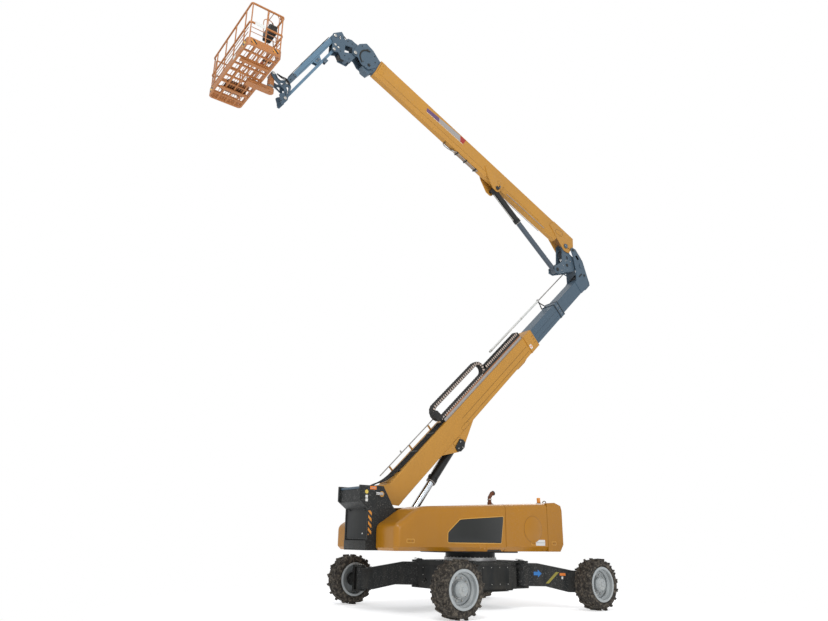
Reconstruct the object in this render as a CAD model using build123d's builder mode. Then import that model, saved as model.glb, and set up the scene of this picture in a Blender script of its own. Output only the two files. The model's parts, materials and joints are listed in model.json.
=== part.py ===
from build123d import *

import os
from math import atan2, cos, degrees, hypot, radians, sin

# Articulating boom lift on four swing-out legs, in millimetres.
# +X is the front of the machine, +Y its left side, +Z up.
# The origin is on the ground under the slew axis.

# Running gear
WHEEL_X = 2150.0
WHEEL_Y = 2078.0
TYRE_RADIUS = 577.5
TYRE_WIDTH = 445.0
LUG_HEIGHT = 34.0
LUG_LENGTH = 150.0
LUG_THICKNESS = 46.0
LUG_COUNT = 16
LUG_SLANT = 30.0
RIM_SEAT_RADIUS = 355.0
RIM_FLANGE_RADIUS = 391.0
RIM_WALL = 14.0
DISC_THICKNESS = 18.0
DISC_OFFSET = 40.0
HUB_RADIUS = 165.0
HUB_NOSE_RADIUS = 120.0
HUB_REACH = 190.0
SPINDLE_RADIUS = 60.0
SPINDLE_REACH = 100.0
PIN_GAP = 1.5

# Legs and steering knuckles
LEG_HINGE_X = 1050.0
LEG_HINGE_Y = 680.0
KINGPIN_INSET = 478.0
LEG_ROOT_RADIUS = 170.0
LEG_END_RADIUS = 112.0
LEG_ROOT_BOTTOM = 492.0
LEG_ROOT_TOP = 1010.0
LEG_END_BOTTOM = 370.0
LEG_END_TOP = 856.0
LEG_BEND_TOP = 420.0
LEG_BEND_LOW = 580.0
LEG_LOW_START = 1120.0
LEG_PIN_RADIUS = 70.0
KINGPIN_RADIUS = 48.0
KNUCKLE_PLATE = 38.0
KNUCKLE_WIDTH = 230.0
KNUCKLE_REACH = 165.0
KNUCKLE_GAP = 8.0
KNUCKLE_DRUM_RADIUS = 150.0

# Chassis
BOX_LENGTH = 1480.0
BOX_WIDTH = 1800.0
BOX_BOTTOM = 440.0
DECK_TOP = 1060.0
LUG_PLATE = 42.0
LUG_RADIUS = 185.0
NOSE_WIDTH = 940.0
BELLY_DROP = 40.0
RING_OUTER = 640.0
RING_INNER = 480.0
RING_LOW_TOP = 1128.0
RING_GAP = 6.0
SLEW_PLATE = 40.0

# Turntable
BASE_BOTTOM = 1285.0
BASE_TOP = 1500.0
BASE_PLATE = 20.0
BASE_REAR = -1470.0
BRACKET_OUTER = 468.0
BRACKET_THICK = 40.0
BRACKET_FRONT = 3560.0
BRACKET_LOW_FRONT = 3345.0
BRACKET_TOP = 2645.0
BRACKET_LOW = 1500.0
TURNTABLE_HALF = 1245.0
HOOD_INNER = 482.0
HOOD_WALL = 24.0
HOOD_BOTTOM = 1285.0
HOOD_FRONT = 3110.0
HOOD_SEAM_MID = -40.0
HOOD_SEAM_REAR = -1480.0
PANEL_GAP = 12.0
FRONT_HINGE_Z = 2160.0
REAR_HINGE_Z = 2300.0
HOOD_HINGE_Y = 486.0
HOOD_HINGE_RADIUS = 12.0
TAIL_X = -2020.0
TAIL_TOP = 2455.0
CHANNEL_HALF = 330.0
CHANNEL_FLOOR = 1690.0
EXHAUST = (-120.0, 620.0)
BEACON = (-1670.0, 800.0)

# Tower boom, pivoted on the brackets and rising towards the rear
TOWER_PIVOT = (2990.0, 2470.0)
TOWER_ANGLE = 43.9
TOWER_PIN_RADIUS = 62.0
TOWER_TOP = -70.0
TOWER_DEPTH = 525.0
TOWER_WIDTH = 500.0
TOWER_WALL = 10.0
TOWER_START = 420.0
TOWER_END = 7140.0
SECTION_STEP = 26.0
MID_START = 2300.0
MID_END = 8900.0
TIP_START = 3800.0
TIP_END = 10420.0
TIP_PIN = (10859.0, 111.0)
TIP_PIN_RADIUS = 45.0
BOOT_GAP = 6.0
BOOT_PLATE = 22.0

# Lift cylinder of the tower: trunnion under the tower, rod eye in the turntable
TOWER_TRUNNION = (2620.0, -770.0)
TOWER_ROD_FOOT = (2330.0, 1450.0)
TOWER_BARREL_RADIUS = 110.0
TOWER_BARREL_REACH = 1100.0
TOWER_BARREL_TAIL = 300.0
TOWER_ROD_RADIUS = 90.0
TOWER_ROD_IN_BARREL = 478.0
ROD_GAP = 4.0
EYE_RADIUS = 92.0
EYE_WIDTH = 176.0
EAR_INNER = 100.0
EAR_PLATE = 30.0
EYE_PIN_RADIUS = 42.0
TRUNNION_RADIUS = 50.0

# Upright between tower and main boom
MAIN_PIVOT = (-4112.0, 10626.0)
MAIN_ROD_FOOT = (-3700.0, 9720.0)
UPRIGHT_HALF = 140.0
UPRIGHT_PLATE = 28.0

# Main boom
MAIN_ANGLE = 23.2
MAIN_TOP = 500.0
MAIN_SIDE_LOW = 50.0
MAIN_CHAMFER = 80.0
MAIN_HALF = 150.0
MAIN_WALL = 10.0
MAIN_START = 420.0
MAIN_END = 8170.0
MAIN_EAR = 22.0
MAIN_PIN_RADIUS = 48.0
FLY_STEP = 24.0
FLY_START = 1500.0
FLY_END = 8420.0
MAIN_TRUNNION = (3170.0, -150.0)
MAIN_BARREL_RADIUS = 95.0
MAIN_BARREL_REACH = 1270.0
MAIN_BARREL_TAIL = 72.0
MAIN_ROD_RADIUS = 82.0
MAIN_ROD_IN_BARREL = 756.0

# Jib
LEVEL_PIN = (4060.0, 14160.0)
LEVEL_PIN_RADIUS = 34.0
JIB_PIN = (4678.0, 14438.0)
LINK_PIN = (4689.0, 13983.0)
JIB_ANGLE = 59.3
JIB_LENGTH = 2500.0
JIB_DEPTH = 140.0
JIB_SWELL = 9.0
JIB_WIDTH = 130.0
LINK_DEPTH = 72.0
LINK_WIDTH = 60.0
CLAMP_PLATE = 14.0
CLAMP_GAP = 8.0
JIB_PIN_RADIUS = 30.0
HEAD_HALF = 116.0
HEAD_PLATE = 24.0

# Platform
ROTATOR = (6330.0, 12150.0)
ROTATOR_RADIUS = 84.0
PLATFORM_INNER = 6600.0
PLATFORM_OUTER = 7450.0
PLATFORM_HALF = 1220.0
FLOOR_Z = 12040.0
RAIL_TOP = 13150.0
RAIL_MID = 12620.0
RAIL_RADIUS = 17.0
POST_RADIUS = 15.0
TOE_HEIGHT = 150.0
GATE_START = 6690.0
GATE_END = 7375.0

CORNERS = (("front_left", 1, 1), ("front_right", 1, -1), ("rear_left", -1, 1), ("rear_right", -1, -1))

os.makedirs("parts", exist_ok=True)


def keep(builder, name):
    """Labels a finished piece and writes its file."""
    builder.part.label = name
    export_step(builder.part, f"parts/{name}.step")


def outline(points):
    """Adds a closed straight-sided face to the open sketch."""
    with BuildLine() as wire:
        Polyline(*points, close=True)
    make_face(wire.line)


def side_plane(y=0.0):
    """Upright plane facing +Y-negative, whose own axes are the machine's X and Z."""
    return Plane(origin=(0, y, 0), x_dir=(1, 0, 0), z_dir=(0, -1, 0))


def drawn(plane, points):
    """Straight-sided sketch on a plane, to hand to extrude."""
    with BuildSketch(plane) as drawing:
        outline(points)
    return drawing.sketch


def round_at(plane, centre, radius):
    """Circle sketch on a plane, to hand to extrude."""
    with BuildSketch(plane) as drawing:
        with Locations(centre):
            Circle(radius)
    return drawing.sketch


def disc_at(centre, radius, half_width, mode=Mode.ADD):
    """Cylinder across the machine about a point given in X and Z, for pins and bosses."""
    extrude(round_at(side_plane(half_width), centre, radius), amount=2 * half_width, mode=mode)


# The tower's own axes: first along the boom, second square to it and upwards.
tower_dir = Vector(-cos(radians(TOWER_ANGLE)), 0, sin(radians(TOWER_ANGLE)))
tower_up = Vector(sin(radians(TOWER_ANGLE)), 0, cos(radians(TOWER_ANGLE)))
tower_origin = Vector(TOWER_PIVOT[0], 0, TOWER_PIVOT[1])
tower_side = Plane(origin=tower_origin, x_dir=tower_dir, z_dir=(0, 1, 0))
tower_section = Plane(origin=tower_origin, x_dir=(0, -1, 0), z_dir=tower_dir)

main_dir = Vector(cos(radians(MAIN_ANGLE)), 0, sin(radians(MAIN_ANGLE)))
main_up = Vector(-sin(radians(MAIN_ANGLE)), 0, cos(radians(MAIN_ANGLE)))
main_origin = Vector(MAIN_PIVOT[0], 0, MAIN_PIVOT[1])
main_side = Plane(origin=main_origin, x_dir=main_dir, z_dir=(0, -1, 0))
main_section = Plane(origin=main_origin, x_dir=(0, 1, 0), z_dir=main_dir)

jib_dir = Vector(cos(radians(JIB_ANGLE)), 0, -sin(radians(JIB_ANGLE)))
jib_side = Plane(origin=(JIB_PIN[0], 0, JIB_PIN[1]), x_dir=jib_dir, z_dir=(0, -1, 0))
link_side = Plane(origin=(LINK_PIN[0], 0, LINK_PIN[1]), x_dir=jib_dir, z_dir=(0, -1, 0))


def world(origin, along, up, point):
    """Turns a point in a boom's own axes into the machine's X and Z."""
    place = origin + along * point[0] + up * point[1]
    return (place.X, place.Z)


tip_pin = world(tower_origin, tower_dir, tower_up, TIP_PIN)
tower_trunnion = world(tower_origin, tower_dir, tower_up, TOWER_TRUNNION)
main_trunnion = world(main_origin, main_dir, main_up, MAIN_TRUNNION)
jib_low_pin = (JIB_PIN[0] + jib_dir.X * JIB_LENGTH, JIB_PIN[1] + jib_dir.Z * JIB_LENGTH)
link_low_pin = (LINK_PIN[0] + jib_dir.X * JIB_LENGTH, LINK_PIN[1] + jib_dir.Z * JIB_LENGTH)

kingpin_y = WHEEL_Y - KINGPIN_INSET
leg_length = hypot(WHEEL_X - LEG_HINGE_X, kingpin_y - LEG_HINGE_Y)
leg_dir = ((WHEEL_X - LEG_HINGE_X) / leg_length, (kingpin_y - LEG_HINGE_Y) / leg_length)

# Chassis: a welded box with a top and a bottom lug plate that hold the four leg pins
with BuildPart() as chassis_frame:
    with BuildSketch(Plane.XY.offset(BOX_BOTTOM)):
        Rectangle(BOX_LENGTH, BOX_WIDTH)
        chamfer(vertices(), 60)
    extrude(amount=DECK_TOP - BOX_BOTTOM)
    with BuildSketch(Plane.XY.offset(BOX_BOTTOM)):
        Rectangle(2 * (LEG_HINGE_X + LUG_RADIUS), NOSE_WIDTH)
    extrude(amount=DECK_TOP - BOX_BOTTOM)
    for low in (BOX_BOTTOM, DECK_TOP - LUG_PLATE):
        with BuildSketch(Plane.XY.offset(low)):
            Rectangle(2 * (LEG_HINGE_X + LUG_RADIUS), 2 * (LEG_HINGE_Y + LUG_RADIUS))
            fillet(vertices(), LUG_RADIUS - 5)
        extrude(amount=LUG_PLATE)
    with BuildSketch(Plane.XY.offset(BOX_BOTTOM - BELLY_DROP)):
        Rectangle(BOX_LENGTH - 120, BOX_WIDTH - 260)
    extrude(amount=BELLY_DROP)
    with BuildSketch(Plane.XY.offset(BOX_BOTTOM)):
        with GridLocations(2 * LEG_HINGE_X, 2 * LEG_HINGE_Y, 2, 2):
            Circle(LEG_PIN_RADIUS)
    extrude(amount=DECK_TOP - BOX_BOTTOM + 12)
    with BuildSketch(Plane.XY.offset(DECK_TOP)):
        with GridLocations(2 * LEG_HINGE_X, 2 * LEG_HINGE_Y, 2, 2):
            Circle(LEG_PIN_RADIUS + 30)
    extrude(amount=12)
    with BuildSketch(Plane.XY.offset(BOX_BOTTOM + LUG_PLATE)):
        Rectangle(BOX_LENGTH - 40, BOX_WIDTH - 40)
        chamfer(vertices(), 50)
        Rectangle(2 * (LEG_HINGE_X + LUG_RADIUS) - 40, NOSE_WIDTH - 40)
    extrude(amount=DECK_TOP - BOX_BOTTOM - 2 * LUG_PLATE, mode=Mode.SUBTRACT)
    with BuildSketch(Plane.XY.offset(BOX_BOTTOM + LUG_PLATE)):
        Circle(300)
    extrude(amount=DECK_TOP, mode=Mode.SUBTRACT)
    with BuildSketch(Plane.XY.offset(BOX_BOTTOM - BELLY_DROP - 1)):
        RectangleRounded(900, 620, 60)
    extrude(amount=200, mode=Mode.SUBTRACT)
keep(chassis_frame, "chassis_frame")

with BuildPart() as slew_bearing:
    with BuildSketch(Plane.XY.offset(DECK_TOP)):
        Circle(RING_OUTER)
        Circle(RING_INNER, mode=Mode.SUBTRACT)
    extrude(amount=RING_LOW_TOP - DECK_TOP)
keep(slew_bearing, "slew_bearing")


def make_leg(name, sx, sy):
    """Tapered swing leg from its hinge on the chassis to its kingpin housing."""
    along = Vector(sx * leg_dir[0], sy * leg_dir[1], 0)
    hinge = Vector(sx * LEG_HINGE_X, sy * LEG_HINGE_Y, 0)
    kingpin = Vector(sx * WHEEL_X, sy * kingpin_y, 0)
    side = Plane(origin=hinge, x_dir=along, z_dir=along.cross(Vector(0, 0, 1)))
    plan = Plane(origin=hinge, x_dir=along, z_dir=(0, 0, 1))
    with BuildPart() as leg:
        with BuildSketch(side):
            outline([
                (0, LEG_ROOT_BOTTOM),
                (LEG_BEND_LOW, LEG_ROOT_BOTTOM),
                (LEG_LOW_START, LEG_END_BOTTOM),
                (leg_length, LEG_END_BOTTOM),
                (leg_length, LEG_END_TOP),
                (leg_length - 165, LEG_END_TOP),
                (LEG_BEND_TOP, LEG_ROOT_TOP),
                (0, LEG_ROOT_TOP),
            ])
        extrude(amount=LEG_ROOT_RADIUS, both=True)
        with BuildSketch(plan):
            outline([
                (0, -LEG_ROOT_RADIUS),
                (leg_length, -LEG_END_RADIUS),
                (leg_length, LEG_END_RADIUS),
                (0, LEG_ROOT_RADIUS),
            ])
        extrude(amount=LEG_ROOT_TOP, mode=Mode.INTERSECT)
        with BuildSketch(Plane.XY.offset(LEG_ROOT_BOTTOM)):
            with Locations((hinge.X, hinge.Y)):
                Circle(LEG_ROOT_RADIUS)
        extrude(amount=LEG_ROOT_TOP - LEG_ROOT_BOTTOM)
        with BuildSketch(Plane.XY.offset(LEG_END_BOTTOM)):
            with Locations((kingpin.X, kingpin.Y)):
                Circle(LEG_END_RADIUS)
        extrude(amount=LEG_END_TOP - LEG_END_BOTTOM)
        with BuildSketch(Plane.XY):
            with Locations((hinge.X, hinge.Y)):
                Circle(LEG_PIN_RADIUS + PIN_GAP)
            with Locations((kingpin.X, kingpin.Y)):
                Circle(KINGPIN_RADIUS + PIN_GAP)
        extrude(amount=LEG_ROOT_TOP, mode=Mode.SUBTRACT)
    keep(leg, f"leg_{name}")


def make_knuckle(name, sx, sy):
    """Steering knuckle: a yoke over and under the leg's end, and the wheel spindle."""
    x, y = sx * WHEEL_X, sy * kingpin_y
    low = LEG_END_BOTTOM - KNUCKLE_GAP - KNUCKLE_PLATE
    high = LEG_END_TOP + KNUCKLE_GAP + KNUCKLE_PLATE
    drum_end = KINGPIN_INSET - DISC_OFFSET
    with BuildPart() as knuckle:
        with BuildSketch(Plane.XY.offset(low)):
            with Locations((x, y)):
                Circle(KNUCKLE_WIDTH / 2)
            with Locations((x, y + sy * (KNUCKLE_REACH + KNUCKLE_PLATE) / 2)):
                Rectangle(KNUCKLE_WIDTH, KNUCKLE_REACH + KNUCKLE_PLATE)
        extrude(amount=high - low)
        with BuildSketch(Plane.XY.offset(low + KNUCKLE_PLATE)):
            with Locations((x, y)):
                Circle(KNUCKLE_REACH)
            with Locations((x, y - sy * KNUCKLE_REACH / 2)):
                Rectangle(2 * KNUCKLE_REACH, KNUCKLE_REACH)
        extrude(amount=high - low - 2 * KNUCKLE_PLATE, mode=Mode.SUBTRACT)
        with BuildSketch(Plane.XY.offset(low)):
            with Locations((x, y)):
                Circle(KINGPIN_RADIUS)
        extrude(amount=high - low)
        hub_plane = Plane(origin=(x, y + sy * KNUCKLE_REACH, TYRE_RADIUS), x_dir=(1, 0, 0), z_dir=(0, sy, 0))
        with BuildSketch(hub_plane):
            Circle(KNUCKLE_DRUM_RADIUS)
        extrude(amount=drum_end - KNUCKLE_REACH - DISC_THICKNESS - 12)
        with BuildSketch(hub_plane):
            Circle(SPINDLE_RADIUS)
        extrude(amount=KINGPIN_INSET + SPINDLE_REACH - KNUCKLE_REACH)
    keep(knuckle, f"knuckle_{name}")


def place_wheel(piece, name):
    """Writes one copy of a wheel piece for each corner, turned round for the right side."""
    for corner, sx, sy in CORNERS:
        where = Location((sx * WHEEL_X, sy * WHEEL_Y, TYRE_RADIUS), (0, 0, 0 if sy > 0 else 180))
        copy = piece.part.moved(where)
        copy.label = f"{name}_{corner}"
        export_step(copy, f"parts/{name}_{corner}.step")


# Deep-dish rim about the Y axis, outboard towards +Y, with its disc and planetary hub
rim_half = TYRE_WIDTH / 2 - 12
rim_inside = RIM_SEAT_RADIUS - RIM_WALL
with BuildPart() as rim:
    with BuildSketch(Plane.XY):
        # half section: the first axis is the radius, the second points outboard
        outline([
            (rim_inside, -rim_half),
            (RIM_FLANGE_RADIUS, -rim_half),
            (RIM_FLANGE_RADIUS, -rim_half + 12),
            (RIM_SEAT_RADIUS, -rim_half + 12),
            (RIM_SEAT_RADIUS, rim_half - 12),
            (RIM_FLANGE_RADIUS, rim_half - 12),
            (RIM_FLANGE_RADIUS, rim_half),
            (rim_inside, rim_half),
            (rim_inside, rim_half - 80),
            (rim_inside - 40, rim_half - 120),
            (rim_inside - 40, DISC_OFFSET),
            (HUB_RADIUS, DISC_OFFSET),
            (HUB_RADIUS, HUB_REACH - 60),
            (HUB_NOSE_RADIUS, HUB_REACH),
            (0, HUB_REACH),
            (0, SPINDLE_REACH + PIN_GAP),
            (SPINDLE_RADIUS + PIN_GAP, SPINDLE_REACH + PIN_GAP),
            (SPINDLE_RADIUS + PIN_GAP, DISC_OFFSET - DISC_THICKNESS),
            (rim_inside, DISC_OFFSET - DISC_THICKNESS),
        ])
    revolve(axis=Axis.Y)
place_wheel(rim, "rim")

# Tyre ring with two rows of slanted lugs out to the full radius
lug_base = TYRE_RADIUS - LUG_HEIGHT
tyre_half = TYRE_WIDTH / 2
lug_planes = []
for row in (-1, 1):
    for index in range(LUG_COUNT):
        turn = radians(360.0 / LUG_COUNT * (index + (0.5 if row > 0 else 0.0)))
        out = Vector(cos(turn), 0, sin(turn))
        around = Vector(-sin(turn), 0, cos(turn))
        slant = Vector(0, cos(radians(LUG_SLANT)), 0) + around * (row * sin(radians(LUG_SLANT)))
        middle = out * (lug_base - 30) + Vector(0, row * (tyre_half - 24 - LUG_LENGTH / 2), 0)
        lug_planes.append(Plane(origin=middle, x_dir=slant, z_dir=out))


def tyre_ring(apothem, low, high, mode=Mode.ADD):
    """Adds or cuts a prism with one flat face for every lug, facing the ground at the bottom."""
    with BuildSketch(Plane.XZ.offset(-high)) as drawing:
        RegularPolygon(apothem, 2 * LUG_COUNT, major_radius=False, rotation=90.0 / LUG_COUNT)
    extrude(drawing.sketch, amount=high - low, mode=mode)


with BuildPart() as tyre:
    tyre_ring(lug_base, -tyre_half, tyre_half)
    chamfer(tyre.faces().filter_by(Axis.Y).edges(), 54)
    with BuildSketch(*lug_planes):
        Rectangle(LUG_LENGTH, LUG_THICKNESS)
    extrude(amount=LUG_HEIGHT + 40)
    tyre_ring(TYRE_RADIUS, -tyre_half, tyre_half, mode=Mode.INTERSECT)
    for low, high in ((-tyre_half, -tyre_half + 24), (tyre_half - 24, tyre_half)):
        tyre_ring(RIM_FLANGE_RADIUS + 4, low, high, mode=Mode.SUBTRACT)
    tyre_ring(RIM_SEAT_RADIUS, -tyre_half, tyre_half, mode=Mode.SUBTRACT)
place_wheel(tyre, "tyre")

for corner, sign_x, sign_y in CORNERS:
    make_leg(corner, sign_x, sign_y)
    make_knuckle(corner, sign_x, sign_y)

# Turntable frame: slew plate, two long side plates that rise into the pivot brackets, floor plate
bracket_inner = BRACKET_OUTER - BRACKET_THICK
with BuildPart() as turntable_frame:
    with BuildSketch(Plane.XY.offset(RING_LOW_TOP + RING_GAP)):
        Circle(RING_OUTER - 30)
        Circle(RING_INNER, mode=Mode.SUBTRACT)
    extrude(amount=BASE_BOTTOM - SLEW_PLATE - RING_LOW_TOP - RING_GAP)
    with BuildSketch(Plane.XY.offset(BASE_BOTTOM - SLEW_PLATE)):
        Rectangle(2400, 1500)
        chamfer(vertices(), 300)
    extrude(amount=SLEW_PLATE)
    with BuildSketch(Plane.XY.offset(BASE_BOTTOM)):
        with Locations(((BASE_REAR + BRACKET_LOW_FRONT) / 2, 0)):
            Rectangle(BRACKET_LOW_FRONT - BASE_REAR, 2 * BRACKET_OUTER)
    extrude(amount=BASE_PLATE)
    for side in (bracket_inner, -BRACKET_OUTER):
        with BuildSketch(side_plane(side)):
            outline([
                (BASE_REAR, BASE_BOTTOM),
                (BRACKET_LOW_FRONT, BASE_BOTTOM),
                (BRACKET_LOW_FRONT, 2165),
                (BRACKET_FRONT, 2320),
                (BRACKET_FRONT, BRACKET_TOP),
                (2940, BRACKET_TOP),
                (2680, 2230),
                (2600, 2140),
                (2250, 2080),
                (1500, 1640),
                (1200, BASE_TOP),
                (BASE_REAR, BASE_TOP),
            ])
        extrude(amount=-BRACKET_THICK)
    disc_at(TOWER_PIVOT, TOWER_PIN_RADIUS + PIN_GAP, BRACKET_OUTER + 10, mode=Mode.SUBTRACT)
    with BuildSketch(Plane.XY.offset(BASE_BOTTOM)):
        with Locations(((1560 + 2760) / 2, 0)):
            Rectangle(2760 - 1560, 2 * EAR_INNER - 8)
    extrude(amount=BASE_PLATE, mode=Mode.SUBTRACT)
    for near in (EAR_INNER + EAR_PLATE, -EAR_INNER):
        with BuildSketch(side_plane(near)):
            outline([
                (TOWER_ROD_FOOT[0] - 190, BASE_BOTTOM + 5),
                (TOWER_ROD_FOOT[0] + 190, BASE_BOTTOM + 5),
                (TOWER_ROD_FOOT[0] + 90, TOWER_ROD_FOOT[1] + 95),
                (TOWER_ROD_FOOT[0] - 90, TOWER_ROD_FOOT[1] + 95),
            ])
        extrude(amount=EAR_PLATE)
    with BuildSketch(Plane.XY.offset(BASE_BOTTOM)):
        for outer in (-1, 1):
            with Locations(((BASE_REAR + 2600) / 2, outer * (BRACKET_OUTER + TURNTABLE_HALF - 130) / 2)):
                Rectangle(2600 - BASE_REAR, TURNTABLE_HALF - 130 - BRACKET_OUTER)
    extrude(amount=BASE_PLATE)
keep(turntable_frame, "turntable_frame")

# Bent cover between the two bracket plates at the front
with BuildPart() as front_cover:
    with BuildSketch(side_plane(bracket_inner)):
        outline([
            (BRACKET_LOW_FRONT - 60, 1506),
            (BRACKET_LOW_FRONT - 20, 1506),
            (BRACKET_LOW_FRONT - 20, 2150),
            (BRACKET_FRONT - 45, 2290),
            (BRACKET_FRONT - 45, 2560),
            (BRACKET_FRONT - 65, 2560),
            (BRACKET_FRONT - 65, 2300),
            (BRACKET_LOW_FRONT - 40, 2160),
            (BRACKET_LOW_FRONT - 60, 2160),
        ])
    extrude(amount=2 * bracket_inner)
keep(front_cover, "front_cover")


def floor_pass(sy):
    """Sketch that clears the turntable's floor wing where a hood stands over it."""
    with BuildSketch(Plane.XY.offset(HOOD_BOTTOM - 2)) as drawing:
        with Locations(((BASE_REAR - 40 + 2612) / 2, sy * (BRACKET_OUTER + TURNTABLE_HALF - 124) / 2)):
            Rectangle(2612 - BASE_REAR + 40, TURNTABLE_HALF - 124 - BRACKET_OUTER)
    return drawing.sketch


def hood_hinge(sy, height, roof, stations):
    """Adds the hood's hinge barrels, each on a web that hangs from the roof."""
    for station, top in zip(stations, roof):
        with BuildSketch(Plane.YZ.offset(station)) as drawing:
            with Locations((sy * HOOD_HINGE_Y, height)):
                Circle(HOOD_HINGE_RADIUS)
            with Locations((sy * (HOOD_HINGE_Y + 14), (height + top) / 2)):
                Rectangle(28, top - height)
        extrude(drawing.sketch, amount=60)


def make_front_hood(name, sy):
    """Long front hood with its rounded nose, open below and towards the middle."""
    depth = TURNTABLE_HALF - HOOD_INNER
    with BuildPart() as hood:
        with BuildSketch(side_plane(sy * HOOD_INNER)):
            with BuildLine() as wire:
                Polyline(
                    (HOOD_SEAM_MID, 2352),
                    (HOOD_SEAM_MID, HOOD_BOTTOM),
                    (HOOD_FRONT - 60, HOOD_BOTTOM),
                    (HOOD_FRONT, HOOD_BOTTOM + 60),
                    (HOOD_FRONT, 1700),
                )
                Spline((HOOD_FRONT, 1700), (2940, 1905), (2560, 2140), (2250, 2222),
                       tangents=[(0, 1), (-1, 0.16)])
                Line((2250, 2222), (HOOD_SEAM_MID, 2352))
            make_face(wire.line)
        extrude(amount=-sy * depth)
        top_outer = hood.edges().filter_by_position(Axis.Y, sy * TURNTABLE_HALF - 1, sy * TURNTABLE_HALF + 1)
        upper = [e for e in top_outer if e.center().Z > 1750 and e.center().X > HOOD_SEAM_MID + 1]
        fillet(upper, 120)
        lower = hood.edges().filter_by_position(
            Axis.Y, sy * TURNTABLE_HALF - 1, sy * TURNTABLE_HALF + 1
        ).filter_by_position(Axis.Z, HOOD_BOTTOM - 1, HOOD_BOTTOM + 1)
        chamfer(lower, 110, 85)
        with BuildSketch(side_plane(sy * (HOOD_INNER - 1))):
            outline([
                (HOOD_SEAM_MID + HOOD_WALL, HOOD_BOTTOM - 1),
                (HOOD_FRONT - 130, HOOD_BOTTOM - 1),
                (HOOD_FRONT - 100, 1690),
                (2780, 1940),
                (2450, 2120),
                (2250, 2222 - HOOD_WALL),
                (HOOD_SEAM_MID + HOOD_WALL, 2352 - HOOD_WALL),
            ])
        extrude(amount=-sy * (depth - 110), mode=Mode.SUBTRACT)
        extrude(floor_pass(sy), amount=BASE_PLATE + 8, mode=Mode.SUBTRACT)
        hood_hinge(sy, FRONT_HINGE_Z, (2320, 2240), (300, 1700))
    keep(hood, f"hood_front_{name}")


def make_rear_hood(name, sy):
    """Short hood panel over the engine bay between the front hood and the counterweight."""
    depth = TURNTABLE_HALF - HOOD_INNER
    left = HOOD_SEAM_REAR + PANEL_GAP
    right = HOOD_SEAM_MID - PANEL_GAP
    with BuildPart() as hood:
        with BuildSketch(side_plane(sy * HOOD_INNER)):
            outline([(left, HOOD_BOTTOM), (right, HOOD_BOTTOM), (right, 2352), (left, 2432)])
        extrude(amount=-sy * depth)
        outer = hood.edges().filter_by_position(Axis.Y, sy * TURNTABLE_HALF - 1, sy * TURNTABLE_HALF + 1)
        fillet(outer.sort_by(Axis.Z)[-1], 120)
        outer = hood.edges().filter_by_position(Axis.Y, sy * TURNTABLE_HALF - 1, sy * TURNTABLE_HALF + 1)
        chamfer(outer.sort_by(Axis.Z)[0], 110, 85)
        with BuildSketch(side_plane(sy * (HOOD_INNER - 1))):
            outline([
                (left + HOOD_WALL, HOOD_BOTTOM - 1),
                (right - HOOD_WALL, HOOD_BOTTOM - 1),
                (right - HOOD_WALL, 2352 - HOOD_WALL),
                (left + HOOD_WALL, 2432 - HOOD_WALL),
            ])
        extrude(amount=-sy * (depth - 110), mode=Mode.SUBTRACT)
        extrude(floor_pass(sy), amount=BASE_PLATE + 8, mode=Mode.SUBTRACT)
        hood_hinge(sy, REAR_HINGE_Z, (2408, 2356), (-1250, -330))
    keep(hood, f"hood_rear_{name}")


for side_name, sign in (("left", 1), ("right", -1)):
    make_front_hood(side_name, sign)
    make_rear_hood(side_name, sign)

# Counterweight that closes the tail, with a channel for the lowered tower
with BuildPart() as counterweight:
    with BuildSketch(side_plane(TURNTABLE_HALF)):
        outline([
            (HOOD_SEAM_REAR, HOOD_BOTTOM),
            (HOOD_SEAM_REAR, 2434),
            (-1760, TAIL_TOP),
            (TAIL_X + 40, TAIL_TOP - 70),
            (TAIL_X, TAIL_TOP - 190),
            (TAIL_X, 1450),
            (TAIL_X + 120, HOOD_BOTTOM),
        ])
    extrude(amount=2 * TURNTABLE_HALF)
    fillet(counterweight.edges().filter_by(Axis.Y).group_by(Axis.X)[0], 10)
    with BuildSketch(side_plane(CHANNEL_HALF)):
        outline([(-2600, CHANNEL_FLOOR), (0, CHANNEL_FLOOR), (0, 2700), (-2600, 2700)])
    extrude(amount=2 * CHANNEL_HALF, mode=Mode.SUBTRACT)
    with BuildSketch(Plane.XY.offset(HOOD_BOTTOM + 120)):
        for outer in (-1, 1):
            with Locations((HOOD_SEAM_REAR - 180, outer * 760)):
                Rectangle(362, 720)
    extrude(amount=860, mode=Mode.SUBTRACT)
keep(counterweight, "counterweight")

with BuildPart() as engine_block:
    with BuildSketch(Plane.XY.offset(BASE_BOTTOM + BASE_PLATE)):
        with Locations((-760, -820)):
            Rectangle(1050, 440)
    extrude(amount=760)
keep(engine_block, "engine_block")

# Exhaust: a stack through the rear hood's roof with its outlet turned to the rear
with BuildPart() as exhaust:
    stack = Plane(origin=(EXHAUST[0], EXHAUST[1], 2360), x_dir=(1, 0, 0), z_dir=(0, 0, 1))
    with BuildSketch(stack):
        Circle(56)
    extrude(amount=60)
    with BuildSketch(stack.offset(60)):
        Circle(44)
    extrude(amount=120)
    with BuildSketch(Plane(origin=(EXHAUST[0], EXHAUST[1], 2535), x_dir=(0, 1, 0), z_dir=(-0.75, 0, 1))):
        Circle(44)
    extrude(amount=120)
    with BuildSketch(Plane(origin=(EXHAUST[0] - 66, EXHAUST[1], 2623), x_dir=(0, 1, 0), z_dir=(-1, 0, 0.35))):
        Circle(50)
    extrude(amount=60)
keep(exhaust, "exhaust")

with BuildPart() as beacon:
    roof = Plane(origin=(BEACON[0], BEACON[1], 2448.5), x_dir=(0, 1, 0), z_dir=(0.075, 0, 1))
    with BuildSketch(roof):
        Circle(55)
    extrude(amount=22)
    with BuildSketch(roof.offset(22)):
        Circle(45)
    extrude(amount=110)
keep(beacon, "beacon")


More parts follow.
